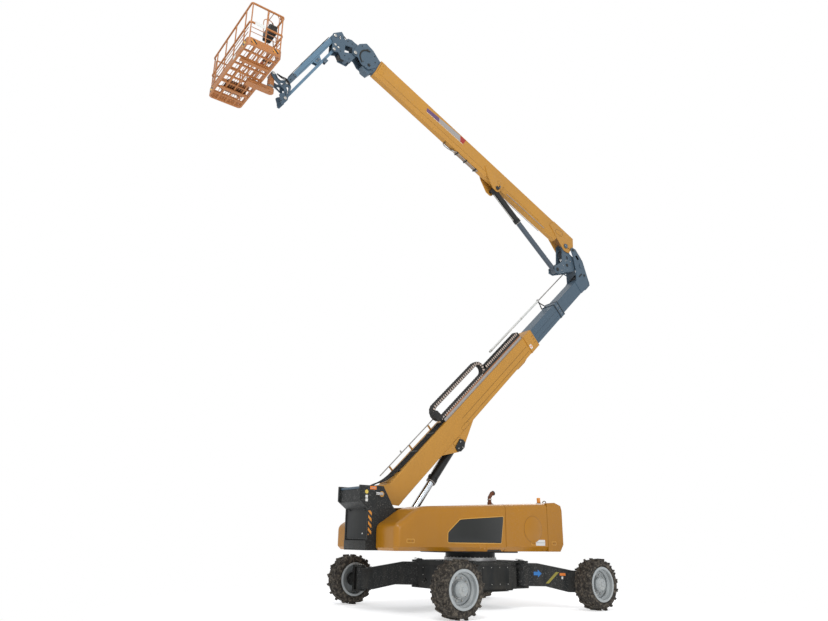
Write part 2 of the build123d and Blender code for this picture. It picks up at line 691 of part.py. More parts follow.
def tower_ring(start, width, depth, corner, wall):
    """Hollow rounded rectangle across the tower at a station along it."""
    with BuildSketch(tower_section.offset(start)) as drawing:
        with Locations((0, TOWER_TOP - TOWER_DEPTH / 2)):
            RectangleRounded(width, depth, corner)
            RectangleRounded(width - 2 * wall, depth - 2 * wall, corner - wall, mode=Mode.SUBTRACT)
    return drawing.sketch


def tower_box(index, start, end):
    """Adds the hollow box of one tower section; each fits inside the one before."""
    inset = 2 * index * SECTION_STEP
    ring = tower_ring(start, TOWER_WIDTH - inset, TOWER_DEPTH - inset, 24, TOWER_WALL)
    extrude(ring, amount=end - start)


def tower_collar(index, start, end, grow):
    """Adds a band round the mouth of a tower section."""
    inset = 2 * index * SECTION_STEP - 2 * grow
    ring = tower_ring(start, TOWER_WIDTH - inset, TOWER_DEPTH - inset, 24 + grow, grow + 1)
    extrude(ring, amount=end - start)


tower_low = TOWER_TOP - TOWER_DEPTH
with BuildPart() as tower_base:
    tower_box(0, TOWER_START, TOWER_END)
    tower_collar(0, TOWER_END - 420, TOWER_END, 14)
    for near in (TOWER_WIDTH / 2 - TOWER_WALL, -TOWER_WIDTH / 2):
        with BuildSketch(tower_side.offset(near)):
            outline([
                (TOWER_START + 20, TOWER_TOP),
                (170, 110),
                (-60, 150),
                (-150, 0),
                (-100, -150),
                (300, tower_low),
                (TOWER_START + 20, tower_low),
            ])
        extrude(amount=TOWER_WALL)
    with BuildSketch(tower_side.offset(-TOWER_WIDTH / 2)):
        Circle(125)
    extrude(amount=TOWER_WIDTH)
    with BuildSketch(tower_side.offset(-BRACKET_OUTER + BRACKET_THICK + 4)):
        Circle(110)
    extrude(amount=2 * (BRACKET_OUTER - BRACKET_THICK - 4))
    with BuildSketch(tower_side.offset(-BRACKET_OUTER - 14)):
        Circle(TOWER_PIN_RADIUS)
    extrude(amount=2 * (BRACKET_OUTER + 14))
    for near in (TOWER_WIDTH / 2 - 22, -TOWER_WIDTH / 2 - 2):
        with BuildSketch(tower_side.offset(near)):
            outline([
                (2080, tower_low + 10),
                (2560, -865),
                (2860, -850),
                (3520, tower_low + 10),
            ])
        extrude(amount=24)
        with BuildSketch(tower_side.offset(near)):
            with Locations(TOWER_TRUNNION):
                Circle(TRUNNION_RADIUS + PIN_GAP)
        extrude(amount=24, mode=Mode.SUBTRACT)
    with BuildSketch(tower_side.offset(-70)):
        outline([
            (5980, tower_low + 5),
            (6060, tower_low - 95),
            (6420, tower_low - 105),
            (6640, tower_low - 60),
            (6640, tower_low + 5),
        ])
    extrude(amount=140)
keep(tower_base, "tower_base")

# Energy chain: carrier tray on the tower's roof and the chain's closed loop, as one fixed piece
with BuildPart() as energy_chain:
    with BuildSketch(tower_side.offset(40)):
        outline([
            (2780, TOWER_TOP),
            (6712, TOWER_TOP),
            (6712, TOWER_TOP + 170),
            (4700, TOWER_TOP + 170),
            (4700, TOWER_TOP + 110),
            (2780, TOWER_TOP + 110),
        ])
    extrude(amount=170)
    with BuildSketch(tower_side.offset(50)):
        with Locations((3740, 230)):
            SlotOverall(2300, 460)
            SlotOverall(2300 - 180, 460 - 180, mode=Mode.SUBTRACT)
    extrude(amount=150)
keep(energy_chain, "energy_chain")

with BuildPart() as tower_mid:
    tower_box(1, MID_START, MID_END)
    tower_collar(1, MID_END - 250, MID_END, 12)
keep(tower_mid, "tower_mid")

# Tip section, its two boot plates and the hose tubes that run beside the boom
tip_half = TOWER_WIDTH / 2 - 2 * SECTION_STEP
with BuildPart() as tower_tip:
    tower_box(2, TIP_START, TIP_END)
    for near in (tip_half - 12, -tip_half + 12 - BOOT_PLATE):
        with BuildSketch(tower_side.offset(near)):
            outline([
                (10180, tower_low + 50),
                (10720, tower_low + 20),
                (10790, tower_low + 110),
                (11080, 180),
                (11090, 640),
                (11000, 770),
                (10880, 770),
                (10800, 560),
                (10560, 160),
                (10300, TOWER_TOP - 46),
                (10180, TOWER_TOP - 60),
            ])
        extrude(amount=BOOT_PLATE)
    with BuildSketch(tower_side.offset(-tip_half - 20)):
        with Locations(TIP_PIN):
            Circle(TIP_PIN_RADIUS)
    extrude(amount=2 * (tip_half + 20))
keep(tower_tip, "tower_tip")

# Upright: side plates between the tower's tip pin, the main pivot and the cylinder foot
with BuildPart() as upright:
    for near in (UPRIGHT_HALF, -UPRIGHT_HALF + UPRIGHT_PLATE):
        with BuildSketch(side_plane(near)):
            outline([
                (tip_pin[0] - 90, tip_pin[1] - 70),
                (tip_pin[0] + 40, tip_pin[1] - 110),
                (-4350, 9800),
                (MAIN_ROD_FOOT[0] - 60, MAIN_ROD_FOOT[1] - 120),
                (MAIN_ROD_FOOT[0] + 110, MAIN_ROD_FOOT[1] - 90),
                (MAIN_ROD_FOOT[0] + 120, MAIN_ROD_FOOT[1] + 60),
                (-3950, 10060),
                (-3985, 10500),
                (-3990, 10640),
                (-4112, 10760),
                (-4260, 10680),
                (-4330, 10420),
                (tip_pin[0] - 60, tip_pin[1] + 90),
            ])
        extrude(amount=UPRIGHT_PLATE)
        with BuildSketch(side_plane(near)):
            with Locations(tip_pin):
                Circle(TIP_PIN_RADIUS + PIN_GAP)
            with Locations((-4190, 10250)):
                Circle(60)
        extrude(amount=UPRIGHT_PLATE, mode=Mode.SUBTRACT)
    disc_at(MAIN_PIVOT, MAIN_PIN_RADIUS, MAIN_HALF + MAIN_EAR + 16)
    with BuildSketch(side_plane(UPRIGHT_HALF)):
        outline([(-4420, 9960), (-4300, 9900), (-4280, 9940), (-4400, 10000)])
    extrude(amount=2 * UPRIGHT_HALF)
keep(upright, "upright")


def boom_section(inset, start):
    """Section of the main boom with its lower edges chamfered, at a station along it."""
    half = MAIN_HALF - inset
    top = MAIN_TOP - inset
    low = MAIN_SIDE_LOW - MAIN_CHAMFER + inset
    side_low = MAIN_SIDE_LOW + inset * 0.4
    floor = half - MAIN_CHAMFER + inset * 0.6
    return drawn(main_section.offset(start), [
        (-half, top), (half, top), (half, side_low), (floor, low), (-floor, low), (-half, side_low),
    ])


def boom_box(inset, start, end):
    """Adds a hollow main boom section between two stations along the boom."""
    extrude(boom_section(inset, start), amount=end - start)
    extrude(boom_section(inset + MAIN_WALL, start), amount=end - start, mode=Mode.SUBTRACT)


with BuildPart() as main_boom:
    boom_box(0, MAIN_START, MAIN_END)
    for near in (MAIN_HALF - 2, -MAIN_HALF - MAIN_EAR + 2):
        with BuildSketch(main_side.offset(near)):
            outline([
                (860, 260),
                (740, MAIN_TOP),
                (-215, MAIN_TOP),
                (-320, 215),
                (-220, -110),
                (-110, -172),
                (25, -172),
            ])
            with Locations(MAIN_TRUNNION):
                Circle(118)
            outline([(3860, 230), (3640, -20), (3300, -262), (3120, -262), (2975, 120), (3000, 230)])
        extrude(amount=MAIN_EAR)
        with BuildSketch(main_side.offset(near)):
            Circle(MAIN_PIN_RADIUS + PIN_GAP)
            with Locations(MAIN_TRUNNION):
                Circle(TRUNNION_RADIUS + PIN_GAP)
        extrude(amount=MAIN_EAR, mode=Mode.SUBTRACT)
keep(main_boom, "main_boom")

fly_half = MAIN_HALF - FLY_STEP
with BuildPart() as main_fly:
    boom_box(FLY_STEP, FLY_START, FLY_END)
    for near in (fly_half + 12, -fly_half + 12):
        with BuildSketch(side_plane(near)):
            outline([
                (3350, 14020),
                (3610, 13830),
                (3840, 13910),
                (3970, 14080),
                (4060, 14070),
                (4130, 14110),
                (4125, 14200),
                (4010, 14400),
                (3930, 14530),
                (3700, 14660),
                (3470, 14530),
                (3260, 14290),
            ])
        extrude(amount=HEAD_PLATE)
    with BuildSketch(side_plane(fly_half - 30)):
        outline([(3410, 14000), (3350, 13960), (3580, 13700), (3750, 13760), (3790, 13900), (3640, 13860)])
    extrude(amount=2 * (fly_half - 30))
    disc_at(LEVEL_PIN, LEVEL_PIN_RADIUS, fly_half + 26)
keep(main_fly, "main_fly")

base_half = fly_half - 24
with BuildPart() as jib_base:
    for near in (base_half, -base_half + HEAD_PLATE):
        with BuildSketch(side_plane(near)):
            outline([
                (3960, 14500),
                (4060, 14520),
                (4150, 14565),
                (4280, 14550),
                (4365, 14450),
                (4420, 14590),
                (4485, 14672),
                (JIB_PIN[0] - 90, JIB_PIN[1] + 165),
                (JIB_PIN[0] + 60, JIB_PIN[1] + 60),
                (JIB_PIN[0] + 100, JIB_PIN[1] - 60),
                (LINK_PIN[0] + 55, LINK_PIN[1] + 180),
                (LINK_PIN[0] + 60, LINK_PIN[1] - 10),
                (LINK_PIN[0] - 10, LINK_PIN[1] - 66),
                (4560, 13960),
                (4500, 13880),
                (4470, 13800),
                (4190, 13790),
                (4110, 13920),
                (3985, 14110),
                (3980, 14200),
                (4040, 14260),
            ])
        extrude(amount=HEAD_PLATE)
        with BuildSketch(side_plane(near)):
            with Locations(LEVEL_PIN):
                Circle(LEVEL_PIN_RADIUS + PIN_GAP)
            outline([(4350, 14300), (4130, 14330), (4120, 14130), (4370, 14050)])
            outline([(4490, 14560), (4590, 14440), (4500, 14380)])
        extrude(amount=HEAD_PLATE, mode=Mode.SUBTRACT)
    disc_at(JIB_PIN, JIB_PIN_RADIUS, base_half + 10)
    disc_at(LINK_PIN, JIB_PIN_RADIUS, base_half + 10)
    disc_at((4290, 13880), 75, base_half - 8)
    extrude(drawn(side_plane(base_half - 12), [(4140, 14548), (4268, 14536), (4340, 14410), (4120, 14440)]),
            amount=2 * (base_half - 12))
keep(jib_base, "jib_base")

# Jib beam: swells a little along its middle and carries two clamp plates that straddle the link
clamp_inner = LINK_WIDTH / 2 + CLAMP_GAP
with BuildPart() as jib_beam:
    with BuildSketch(jib_side.offset(-JIB_WIDTH / 2)):
        outline([
            (0, JIB_DEPTH / 2),
            (700, JIB_DEPTH / 2 + JIB_SWELL),
            (1500, JIB_DEPTH / 2 + JIB_SWELL),
            (JIB_LENGTH - 450, JIB_DEPTH / 2 - 2),
            (JIB_LENGTH, JIB_DEPTH / 2 - 8),
            (JIB_LENGTH, 8 - JIB_DEPTH / 2),
            (JIB_LENGTH - 450, 2 - JIB_DEPTH / 2),
            (1500, -JIB_DEPTH / 2 - JIB_SWELL),
            (700, -JIB_DEPTH / 2 - JIB_SWELL),
            (0, -JIB_DEPTH / 2),
        ])
        Circle(JIB_DEPTH / 2)
        with Locations((JIB_LENGTH, 0)):
            Circle(JIB_DEPTH / 2 - 8)
    extrude(amount=JIB_WIDTH)
    for near in (clamp_inner, -clamp_inner - CLAMP_PLATE):
        with BuildSketch(jib_side.offset(near)):
            outline([
                (900, -JIB_DEPTH / 2),
                (1250, -JIB_DEPTH / 2),
                (1190, -JIB_DEPTH / 2 - 118),
                (985, -JIB_DEPTH / 2 - 118),
            ])
        extrude(amount=CLAMP_PLATE)
    with BuildSketch(jib_side.offset(-JIB_WIDTH / 2)):
        with Locations((0, 0), (JIB_LENGTH, 0)):
            Circle(JIB_PIN_RADIUS + PIN_GAP)
    extrude(amount=JIB_WIDTH, mode=Mode.SUBTRACT)
keep(jib_beam, "jib_beam")

with BuildPart() as jib_link:
    with BuildSketch(link_side.offset(-LINK_WIDTH / 2)):
        with Locations((JIB_LENGTH / 2, 0)):
            SlotCenterToCenter(JIB_LENGTH, LINK_DEPTH)
    extrude(amount=LINK_WIDTH)
    with BuildSketch(link_side.offset(-LINK_WIDTH / 2)):
        with Locations((0, 0), (JIB_LENGTH, 0)):
            Circle(JIB_PIN_RADIUS + PIN_GAP)
    extrude(amount=LINK_WIDTH, mode=Mode.SUBTRACT)
keep(jib_link, "jib_link")

# End frame: two plates with windows, from the far jib pins up a curved arm to the levelling pin
level_low = (ROTATOR[0], ROTATOR[1] + 260)
with BuildPart() as jib_end:
    for near in (HEAD_HALF, -HEAD_HALF + HEAD_PLATE):
        with BuildSketch(side_plane(near)):
            outline([
                (jib_low_pin[0] - 84, jib_low_pin[1] + 40),
                (jib_low_pin[0] - 20, jib_low_pin[1] + 88),
                (jib_low_pin[0] + 80, jib_low_pin[1] + 50),
                (jib_low_pin[0] + 170, jib_low_pin[1] + 6),
                (level_low[0] - 120, level_low[1] - 90),
                (level_low[0] - 62, level_low[1] + 8),
                (level_low[0] - 30, level_low[1] + 52),
                (level_low[0] + 30, level_low[1] + 52),
                (level_low[0] + 60, level_low[1] - 10),
                (level_low[0] + 34, level_low[1] - 66),
                (level_low[0] - 30, level_low[1] - 150),
                (level_low[0] - 120, level_low[1] - 220),
                (level_low[0] - 225, level_low[1] - 268),
                (level_low[0] - 320, level_low[1] - 325),
                (level_low[0] - 328, level_low[1] - 430),
                (level_low[0] - 240, level_low[1] - 486),
                (level_low[0] - 206, level_low[1] - 530),
                (link_low_pin[0] + 110, link_low_pin[1] - 80),
                (link_low_pin[0] + 92, link_low_pin[1] - 185),
                (link_low_pin[0] + 34, link_low_pin[1] - 195),
                (link_low_pin[0] - 74, link_low_pin[1] - 22),
                (link_low_pin[0] - 84, link_low_pin[1] + 60),
                (jib_low_pin[0] - 112, jib_low_pin[1] - 200),
                (jib_low_pin[0] - 128, jib_low_pin[1] - 60),
            ])
        extrude(amount=HEAD_PLATE)
        with BuildSketch(side_plane(near)):
            outline([
                (jib_low_pin[0] - 62, jib_low_pin[1] - 90),
                (jib_low_pin[0] + 20, jib_low_pin[1] - 110),
                (jib_low_pin[0] - 50, jib_low_pin[1] - 330),
            ])
            outline([
                (link_low_pin[0] + 20, link_low_pin[1] + 235),
                (link_low_pin[0] + 10, link_low_pin[1] + 95),
                (link_low_pin[0] - 38, link_low_pin[1] + 90),
            ])
            outline([
                (jib_low_pin[0] + 90, jib_low_pin[1] - 40),
                (jib_low_pin[0] + 190, jib_low_pin[1] - 70),
                (jib_low_pin[0] + 80, jib_low_pin[1] - 150),
            ])
        extrude(amount=HEAD_PLATE, mode=Mode.SUBTRACT)
    disc_at(jib_low_pin, JIB_PIN_RADIUS, HEAD_HALF + 10)
    disc_at(link_low_pin, JIB_PIN_RADIUS, HEAD_HALF + 10)
    disc_at(level_low, JIB_PIN_RADIUS, HEAD_HALF + 10)
keep(jib_end, "jib_end")

# Mount: levelling lug and the turning drive's housing
with BuildPart() as platform_mount:
    with BuildSketch(side_plane(HEAD_HALF - HEAD_PLATE - 6)):
        with Locations(level_low):
            Circle(55)
        outline([
            (level_low[0] - 50, level_low[1]),
            (level_low[0] + 50, level_low[1]),
            (ROTATOR[0] + 60, ROTATOR[1] + 90),
            (ROTATOR[0] - 60, ROTATOR[1] + 90),
        ])
    extrude(amount=2 * (HEAD_HALF - HEAD_PLATE - 6))
    with BuildSketch(side_plane(HEAD_HALF - HEAD_PLATE)):
        with Locations(level_low):
            Circle(JIB_PIN_RADIUS + PIN_GAP)
    extrude(amount=2 * (HEAD_HALF - HEAD_PLATE), mode=Mode.SUBTRACT)
    with BuildSketch(Plane.XY.offset(ROTATOR[1] - 60)):
        with Locations((ROTATOR[0], 0)):
            Circle(ROTATOR_RADIUS)
    extrude(amount=150)
    with BuildSketch(Plane.XY.offset(ROTATOR[1] - 260)):
        with Locations((ROTATOR[0], 0)):
            Circle(38)
    extrude(amount=210)
keep(platform_mount, "platform_mount")

# Platform floor: frame tubes, slats and toe boards
floor_middle = (PLATFORM_INNER + PLATFORM_OUTER) / 2
floor_depth = PLATFORM_OUTER - PLATFORM_INNER
floor_corner = min(90.0, 0.4 * floor_depth)
with BuildPart() as platform_floor:
    with BuildSketch(Plane.XY.offset(FLOOR_Z - 40)):
        with Locations((floor_middle, 0)):
            RectangleRounded(floor_depth, 2 * PLATFORM_HALF, floor_corner)
            RectangleRounded(floor_depth - 80, 2 * PLATFORM_HALF - 80, min(60.0, 0.4 * (floor_depth - 80)),
                             mode=Mode.SUBTRACT)
            with GridLocations(floor_depth / 4, 0, 3, 1):
                Rectangle(34, 2 * PLATFORM_HALF - 60)
            with GridLocations(0, 2 * PLATFORM_HALF / 9, 1, 8):
                Rectangle(floor_depth - 60, 34)
    extrude(amount=40)
    with BuildSketch(Plane.XY.offset(FLOOR_Z - 40)):
        with Locations((floor_middle, 0)):
            RectangleRounded(floor_depth, 2 * PLATFORM_HALF, floor_corner)
            RectangleRounded(floor_depth - 12, 2 * PLATFORM_HALF - 12, floor_corner - 6, mode=Mode.SUBTRACT)
    extrude(amount=TOE_HEIGHT + 40)
keep(platform_floor, "platform_floor")

# Platform arm: bolted under the floor, and turned by the drive's shaft
with BuildPart() as platform_arm:
    with BuildSketch(Plane.XY.offset(ROTATOR[1] - 250)):
        with Locations((ROTATOR[0], 0)):
            Circle(95)
        with Locations(((ROTATOR[0] + PLATFORM_INNER + 350) / 2, 0)):
            Rectangle(PLATFORM_INNER + 350 - ROTATOR[0], 190)
    extrude(amount=FLOOR_Z - 40 - ROTATOR[1] + 250)
    with BuildSketch(Plane.XY.offset(ROTATOR[1] - 262)):
        with Locations((ROTATOR[0], 0)):
            Circle(38 + PIN_GAP)
    extrude(amount=200, mode=Mode.SUBTRACT)
keep(platform_arm, "platform_arm")

# Guard rails: one panel for each long side with its corners, one for the left side; the gate fills the right side
rail_depth = floor_depth - 10
rail_width = 2 * PLATFORM_HALF - 10
rail_corner = min(60.0, 0.3 * rail_depth)
rail_hollow = min(26.0, 0.3 * (rail_depth - 4 * RAIL_RADIUS))
inner_end = PLATFORM_INNER + 5 + rail_corner
outer_end = PLATFORM_OUTER - 5 - rail_corner
corner_post = PLATFORM_HALF - 23
post_low = min(FLOOR_Z + TOE_HEIGHT, RAIL_MID)
post_high = max(RAIL_TOP, RAIL_MID)


def make_rail_panel(name, near, far, low, posts):
    """Share of both rails between two stations along X and beyond one along Y, with its posts."""
    with BuildPart() as panel:
        for height in (RAIL_TOP, RAIL_MID):
            with BuildSketch(Plane.XY.offset(height - RAIL_RADIUS)):
                with Locations((floor_middle, 0)):
                    RectangleRounded(rail_depth, rail_width, rail_corner)
                    RectangleRounded(rail_depth - 4 * RAIL_RADIUS, rail_width - 4 * RAIL_RADIUS, rail_hollow,
                                     mode=Mode.SUBTRACT)
            extrude(amount=2 * RAIL_RADIUS)
        with BuildSketch(Plane.XY.offset(min(RAIL_TOP, RAIL_MID) - RAIL_RADIUS)):
            with Locations(((near + far) / 2, (low + PLATFORM_HALF) / 2)):
                Rectangle(far - near, PLATFORM_HALF - low)
        extrude(amount=abs(RAIL_TOP - RAIL_MID) + 2 * RAIL_RADIUS, mode=Mode.INTERSECT)
        with BuildSketch(Plane.XY.offset(post_low)):
            with Locations(*posts):
                Circle(POST_RADIUS)
        extrude(amount=post_high - post_low)
    keep(panel, f"platform_rails_{name}")


def side_posts(x, corner_x):
    """Places of the posts of a long side, the two corner posts last."""
    return [(x, -900), (x, -300), (x, 300), (x, 900), (corner_x, -corner_post), (corner_x, corner_post)]


make_rail_panel("inner", PLATFORM_INNER, inner_end, -PLATFORM_HALF,
                side_posts(PLATFORM_INNER + 20, inner_end - POST_RADIUS))
make_rail_panel("outer", outer_end, PLATFORM_OUTER, -PLATFORM_HALF,
                side_posts(PLATFORM_OUTER - 20, outer_end + POST_RADIUS))
make_rail_panel("left", inner_end, outer_end, 0, [(floor_middle, corner_post)])

with BuildPart() as platform_gate:
    with BuildSketch(side_plane(-corner_post + 12)):
        with Locations(((GATE_START + GATE_END) / 2, (FLOOR_Z + TOE_HEIGHT + RAIL_TOP) / 2 + 10)):
            RectangleRounded(GATE_END - GATE_START, RAIL_TOP - FLOOR_Z - TOE_HEIGHT - 40, 40)
            RectangleRounded(GATE_END - GATE_START - 60, RAIL_TOP - FLOOR_Z - TOE_HEIGHT - 100, 20,
                             mode=Mode.SUBTRACT)
            Rectangle(GATE_END - GATE_START - 50, 30)
    extrude(amount=24)
keep(platform_gate, "platform_gate")

with BuildPart() as control_console:
    with BuildSketch(Plane.XY.offset(RAIL_TOP - 330)):
        with Locations((PLATFORM_INNER + 170, 760)):
            RectangleRounded(200, 420, 30)
    extrude(amount=200)
keep(control_console, "control_console")


def cylinder_pair(name, top, foot, barrel_radius, barrel_reach, barrel_tail, rod_radius, rod_in, trunnion_half):
    """Barrel on its upper trunnion and rod down to the eye at its foot.

    Points are in the machine's X and Z. The rod starts inside the barrel.
    """
    length = hypot(foot[0] - top[0], foot[1] - top[1])
    run = Vector((foot[0] - top[0]) / length, 0, (foot[1] - top[1]) / length)
    axis_plane = Plane(origin=(top[0], 0, top[1]), x_dir=(0, 1, 0), z_dir=run)
    bore = rod_radius + ROD_GAP
    with BuildPart() as barrel:
        with BuildSketch(axis_plane.offset(-barrel_tail)):
            Circle(barrel_radius)
        extrude(amount=barrel_tail + barrel_reach)
        with BuildSketch(axis_plane.offset(barrel_reach - 90)):
            Circle(barrel_radius + 12)
        extrude(amount=90)
        with BuildSketch(side_plane(trunnion_half)):
            with Locations(top):
                Circle(TRUNNION_RADIUS)
        extrude(amount=2 * trunnion_half)
        with BuildSketch(axis_plane.offset(-barrel_tail + 25)):
            Circle(bore)
        extrude(amount=barrel_tail - 25 + barrel_reach, mode=Mode.SUBTRACT)
    keep(barrel, f"{name}_barrel")
    with BuildPart() as rod:
        with BuildSketch(axis_plane.offset(barrel_reach - rod_in)):
            Circle(rod_radius)
        extrude(amount=length - barrel_reach + rod_in - EYE_RADIUS * 0.6)
        with BuildSketch(side_plane(EYE_WIDTH / 2)):
            with Locations(foot):
                Circle(EYE_RADIUS)
        extrude(amount=EYE_WIDTH)
        with BuildSketch(side_plane(EYE_WIDTH / 2)):
            with Locations(foot):
                Circle(EYE_PIN_RADIUS)
        extrude(amount=EYE_WIDTH, mode=Mode.SUBTRACT)
    keep(rod, f"{name}_rod")
    lean = degrees(atan2(run.Z, run.X))
    print(name, "length", round(length, 1), "direction", round(lean, 2))


cylinder_pair("tower_lift", tower_trunnion, TOWER_ROD_FOOT, TOWER_BARREL_RADIUS, TOWER_BARREL_REACH,
              TOWER_BARREL_TAIL, TOWER_ROD_RADIUS, TOWER_ROD_IN_BARREL, TOWER_WIDTH / 2 + 6)
cylinder_pair("main_lift", main_trunnion, MAIN_ROD_FOOT, MAIN_BARREL_RADIUS, MAIN_BARREL_REACH,
              MAIN_BARREL_TAIL, MAIN_ROD_RADIUS, MAIN_ROD_IN_BARREL, MAIN_HALF + MAIN_EAR + 6)
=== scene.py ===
"""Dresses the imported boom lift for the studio: finishes, small parts, hoses, camera and light.

Everything is in metres in the machine's own frame: +X towards the platform, +Y to the left side,
+Z up, and the ground at zero under the slew axis.
"""

from __future__ import annotations

import json
import logging
import math
from dataclasses import dataclass, field
from enum import Enum

import bpy  # noqa: E402
from mathutils import Matrix, Vector  # noqa: E402

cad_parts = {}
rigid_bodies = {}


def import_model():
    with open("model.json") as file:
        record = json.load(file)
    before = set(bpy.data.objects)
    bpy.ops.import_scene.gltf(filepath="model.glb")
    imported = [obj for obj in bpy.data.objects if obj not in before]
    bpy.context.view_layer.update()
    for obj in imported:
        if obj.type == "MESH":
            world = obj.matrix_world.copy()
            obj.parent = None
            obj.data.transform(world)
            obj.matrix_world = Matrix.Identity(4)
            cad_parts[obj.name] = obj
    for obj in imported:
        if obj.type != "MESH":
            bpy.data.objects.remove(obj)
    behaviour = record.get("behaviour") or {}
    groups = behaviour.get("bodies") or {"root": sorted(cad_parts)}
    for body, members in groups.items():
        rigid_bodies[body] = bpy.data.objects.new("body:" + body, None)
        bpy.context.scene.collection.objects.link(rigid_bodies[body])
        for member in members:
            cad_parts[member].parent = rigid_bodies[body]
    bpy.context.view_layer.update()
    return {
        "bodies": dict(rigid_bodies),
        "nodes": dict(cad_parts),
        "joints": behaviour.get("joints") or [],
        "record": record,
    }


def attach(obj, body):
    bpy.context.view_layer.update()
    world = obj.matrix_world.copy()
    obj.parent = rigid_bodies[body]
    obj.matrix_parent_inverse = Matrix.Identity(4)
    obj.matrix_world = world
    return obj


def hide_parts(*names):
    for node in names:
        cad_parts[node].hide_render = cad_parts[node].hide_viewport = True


log = logging.getLogger("boom_lift")

Colour = tuple[float, float, float]
Point = tuple[float, float]
Flanks = float | tuple[float, ...]
Piece = bpy.types.Object

AHEAD, LEFT, UP = (Vector(way) for way in ((1, 0, 0), (0, 1, 0), (0, 0, 1)))


def linear(red: float, green: float, blue: float) -> Colour:
    """Turns a screen colour of 0 to 255 into scene-linear values."""
    def channel(value: float) -> float:
        share = value / 255.0
        return share / 12.92 if share <= 0.04045 else ((share + 0.055) / 1.055) ** 2.4
    return (channel(red), channel(green), channel(blue))


# Finishes


class Value:
    """A shader socket that can be used in ordinary arithmetic."""

    def __init__(self, graph: Graph, socket: bpy.types.NodeSocket) -> None:
        """Keeps the graph that the socket belongs to."""
        self.graph = graph
        self.socket = socket

    def _math(self, operation: str, *values: Value | float) -> Value:
        """Adds one Math node.

        Args:
            operation: The Math node's operation.
            values: Its inputs, as links or numbers.

        Returns:
            The node's result.
        """
        links = {index: value for index, value in enumerate(values)}
        return self.graph.node("ShaderNodeMath", {"operation": operation}, links)

    def __add__(self, other: Value | float) -> Value:
        """Sum."""
        return self._math("ADD", self, other)

    def __radd__(self, other: float) -> Value:
        """Sum with a number first."""
        return self._math("ADD", other, self)

    def __rsub__(self, other: float) -> Value:
        """Difference with a number first."""
        return self._math("SUBTRACT", other, self)

    def __mul__(self, other: Value | float) -> Value:
        """Product."""
        return self._math("MULTIPLY", self, other)

    def __truediv__(self, other: Value | float) -> Value:
        """Quotient."""
        return self._math("DIVIDE", self, other)

    def __pow__(self, other: float) -> Value:
        """Power."""
        return self._math("POWER", self, other)

    def above(self, edge: float) -> Value:
        """One where the value is over an edge, else zero."""
        return self._math("GREATER_THAN", self, edge)

    def ramp(self, low: float, high: float) -> Value:
        """Zero at low, one at high, clamped and straight between them."""
        settings = {"clamp": True}
        return self.graph.node("ShaderNodeMapRange", settings, {"Value": self, "From Min": low,
            "From Max": high})

    def fraction(self) -> Value:
        """The part after the decimal point."""
        return self._math("FRACT", self)

    def at_least(self, other: Value | float) -> Value:
        """The larger of two values."""
        return self._math("MAXIMUM", self, other)

    def clamped(self) -> Value:
        """The value held between zero and one."""
        return self._math("MINIMUM", self.at_least(0.0), 1.0)


class Graph:
    """The node tree of one material or world, built by calls."""

    def __init__(self, name: str, world: bool = False) -> None:
        """Starts an empty material or world with its output node."""
        self.owner = (bpy.data.worlds if world else bpy.data.materials).new(name)
        self.owner.use_nodes = True
        self.tree = self.owner.node_tree
        self.tree.nodes.clear()
        self.output = self.tree.nodes.new("ShaderNodeOutputWorld" if world else "ShaderNodeOutputMaterial")

    def end(self, shader: Value) -> None:
        """Links the last shader to the output."""
        self.tree.links.new(shader.socket, self.output.inputs["Surface"])

    def node(self, kind: str, settings: dict[str, object] | None = None,
            inputs: dict[object, object] | None = None, out: int | str = 0) -> Value:
        """Adds a node.

        Args:
            kind: The node's type name.
            settings: Properties set before its inputs.
            inputs: Values or links by socket name or index.
            out: The output wanted.

        Returns:
            The chosen output as a Value.
        """
        made = self.tree.nodes.new(kind)
        for key, value in (settings or {}).items():
            setattr(made, key, value)
        for key, value in (inputs or {}).items():
            socket = made.inputs[key]
            if isinstance(value, Value):
                self.tree.links.new(value.socket, socket)
            elif isinstance(value, tuple) and len(value) == 3 and len(
                getattr(socket, "default_value", ())) == 4:
                socket.default_value = (*value, 1.0)
            else:
                socket.default_value = value
        return Value(self, made.outputs[out])

    def place(self) -> Value:
        """The surface point in the machine's frame, in metres."""
        return self.node("ShaderNodeTexCoord", out="Object")

    def axis(self, name: str) -> Value:
        """One coordinate of the surface point: X, Y or Z."""
        return self.node("ShaderNodeSeparateXYZ", inputs={0: self.place()}, out=name)

    def noise(self, scale: float, detail: float = 3.0, rough: float = 0.55,
            stretch: Colour = (1, 1, 1)) -> Value:
        """Soft noise over the surface, from about 0.25 to 0.75."""
        where = self.node("ShaderNodeMapping", inputs={"Vector": self.place(), "Scale": stretch})
        return self.node("ShaderNodeTexNoise", None, {"Vector": where, "Scale": scale, "Detail": detail,
            "Roughness": rough})

    def edges(self, low: float, high: float) -> Value:
        """Mask of worn outer edges from the surface's own curvature."""
        return self.node("ShaderNodeNewGeometry", out="Pointiness").ramp(low, high)

    def mix(self, share: Value | float, first: Value | Colour, second: Value | Colour) -> Value:
        """Blends two colours by the share of the second."""
        return self.node("ShaderNodeMix", {"data_type": "RGBA"}, {0: share, 6: first, 7: second}, 2)

    def bump(self, height: Value, strength: float, distance: float) -> Value:
        """Turns a height into a surface normal."""
        return self.node("ShaderNodeBump", None, {"Height": height, "Strength": strength,
            "Distance": distance})

    def surface(self, **inputs: object) -> bpy.types.Material:
        """Ends the graph in a Principled shader.

        Args:
            inputs: Socket values, with underscores for the spaces in their names.

        Returns:
            The finished material.
        """
        named = {key.replace("_", " "): value for key, value in inputs.items()}
        shader = self.node("ShaderNodeBsdfPrincipled", None, named)
        self.end(shader)
        self.owner.diffuse_color = (0.5, 0.5, 0.5, 1.0)
        return self.owner


DUST = linear(168, 156, 138)
STEEL_EDGE = linear(150, 148, 144)


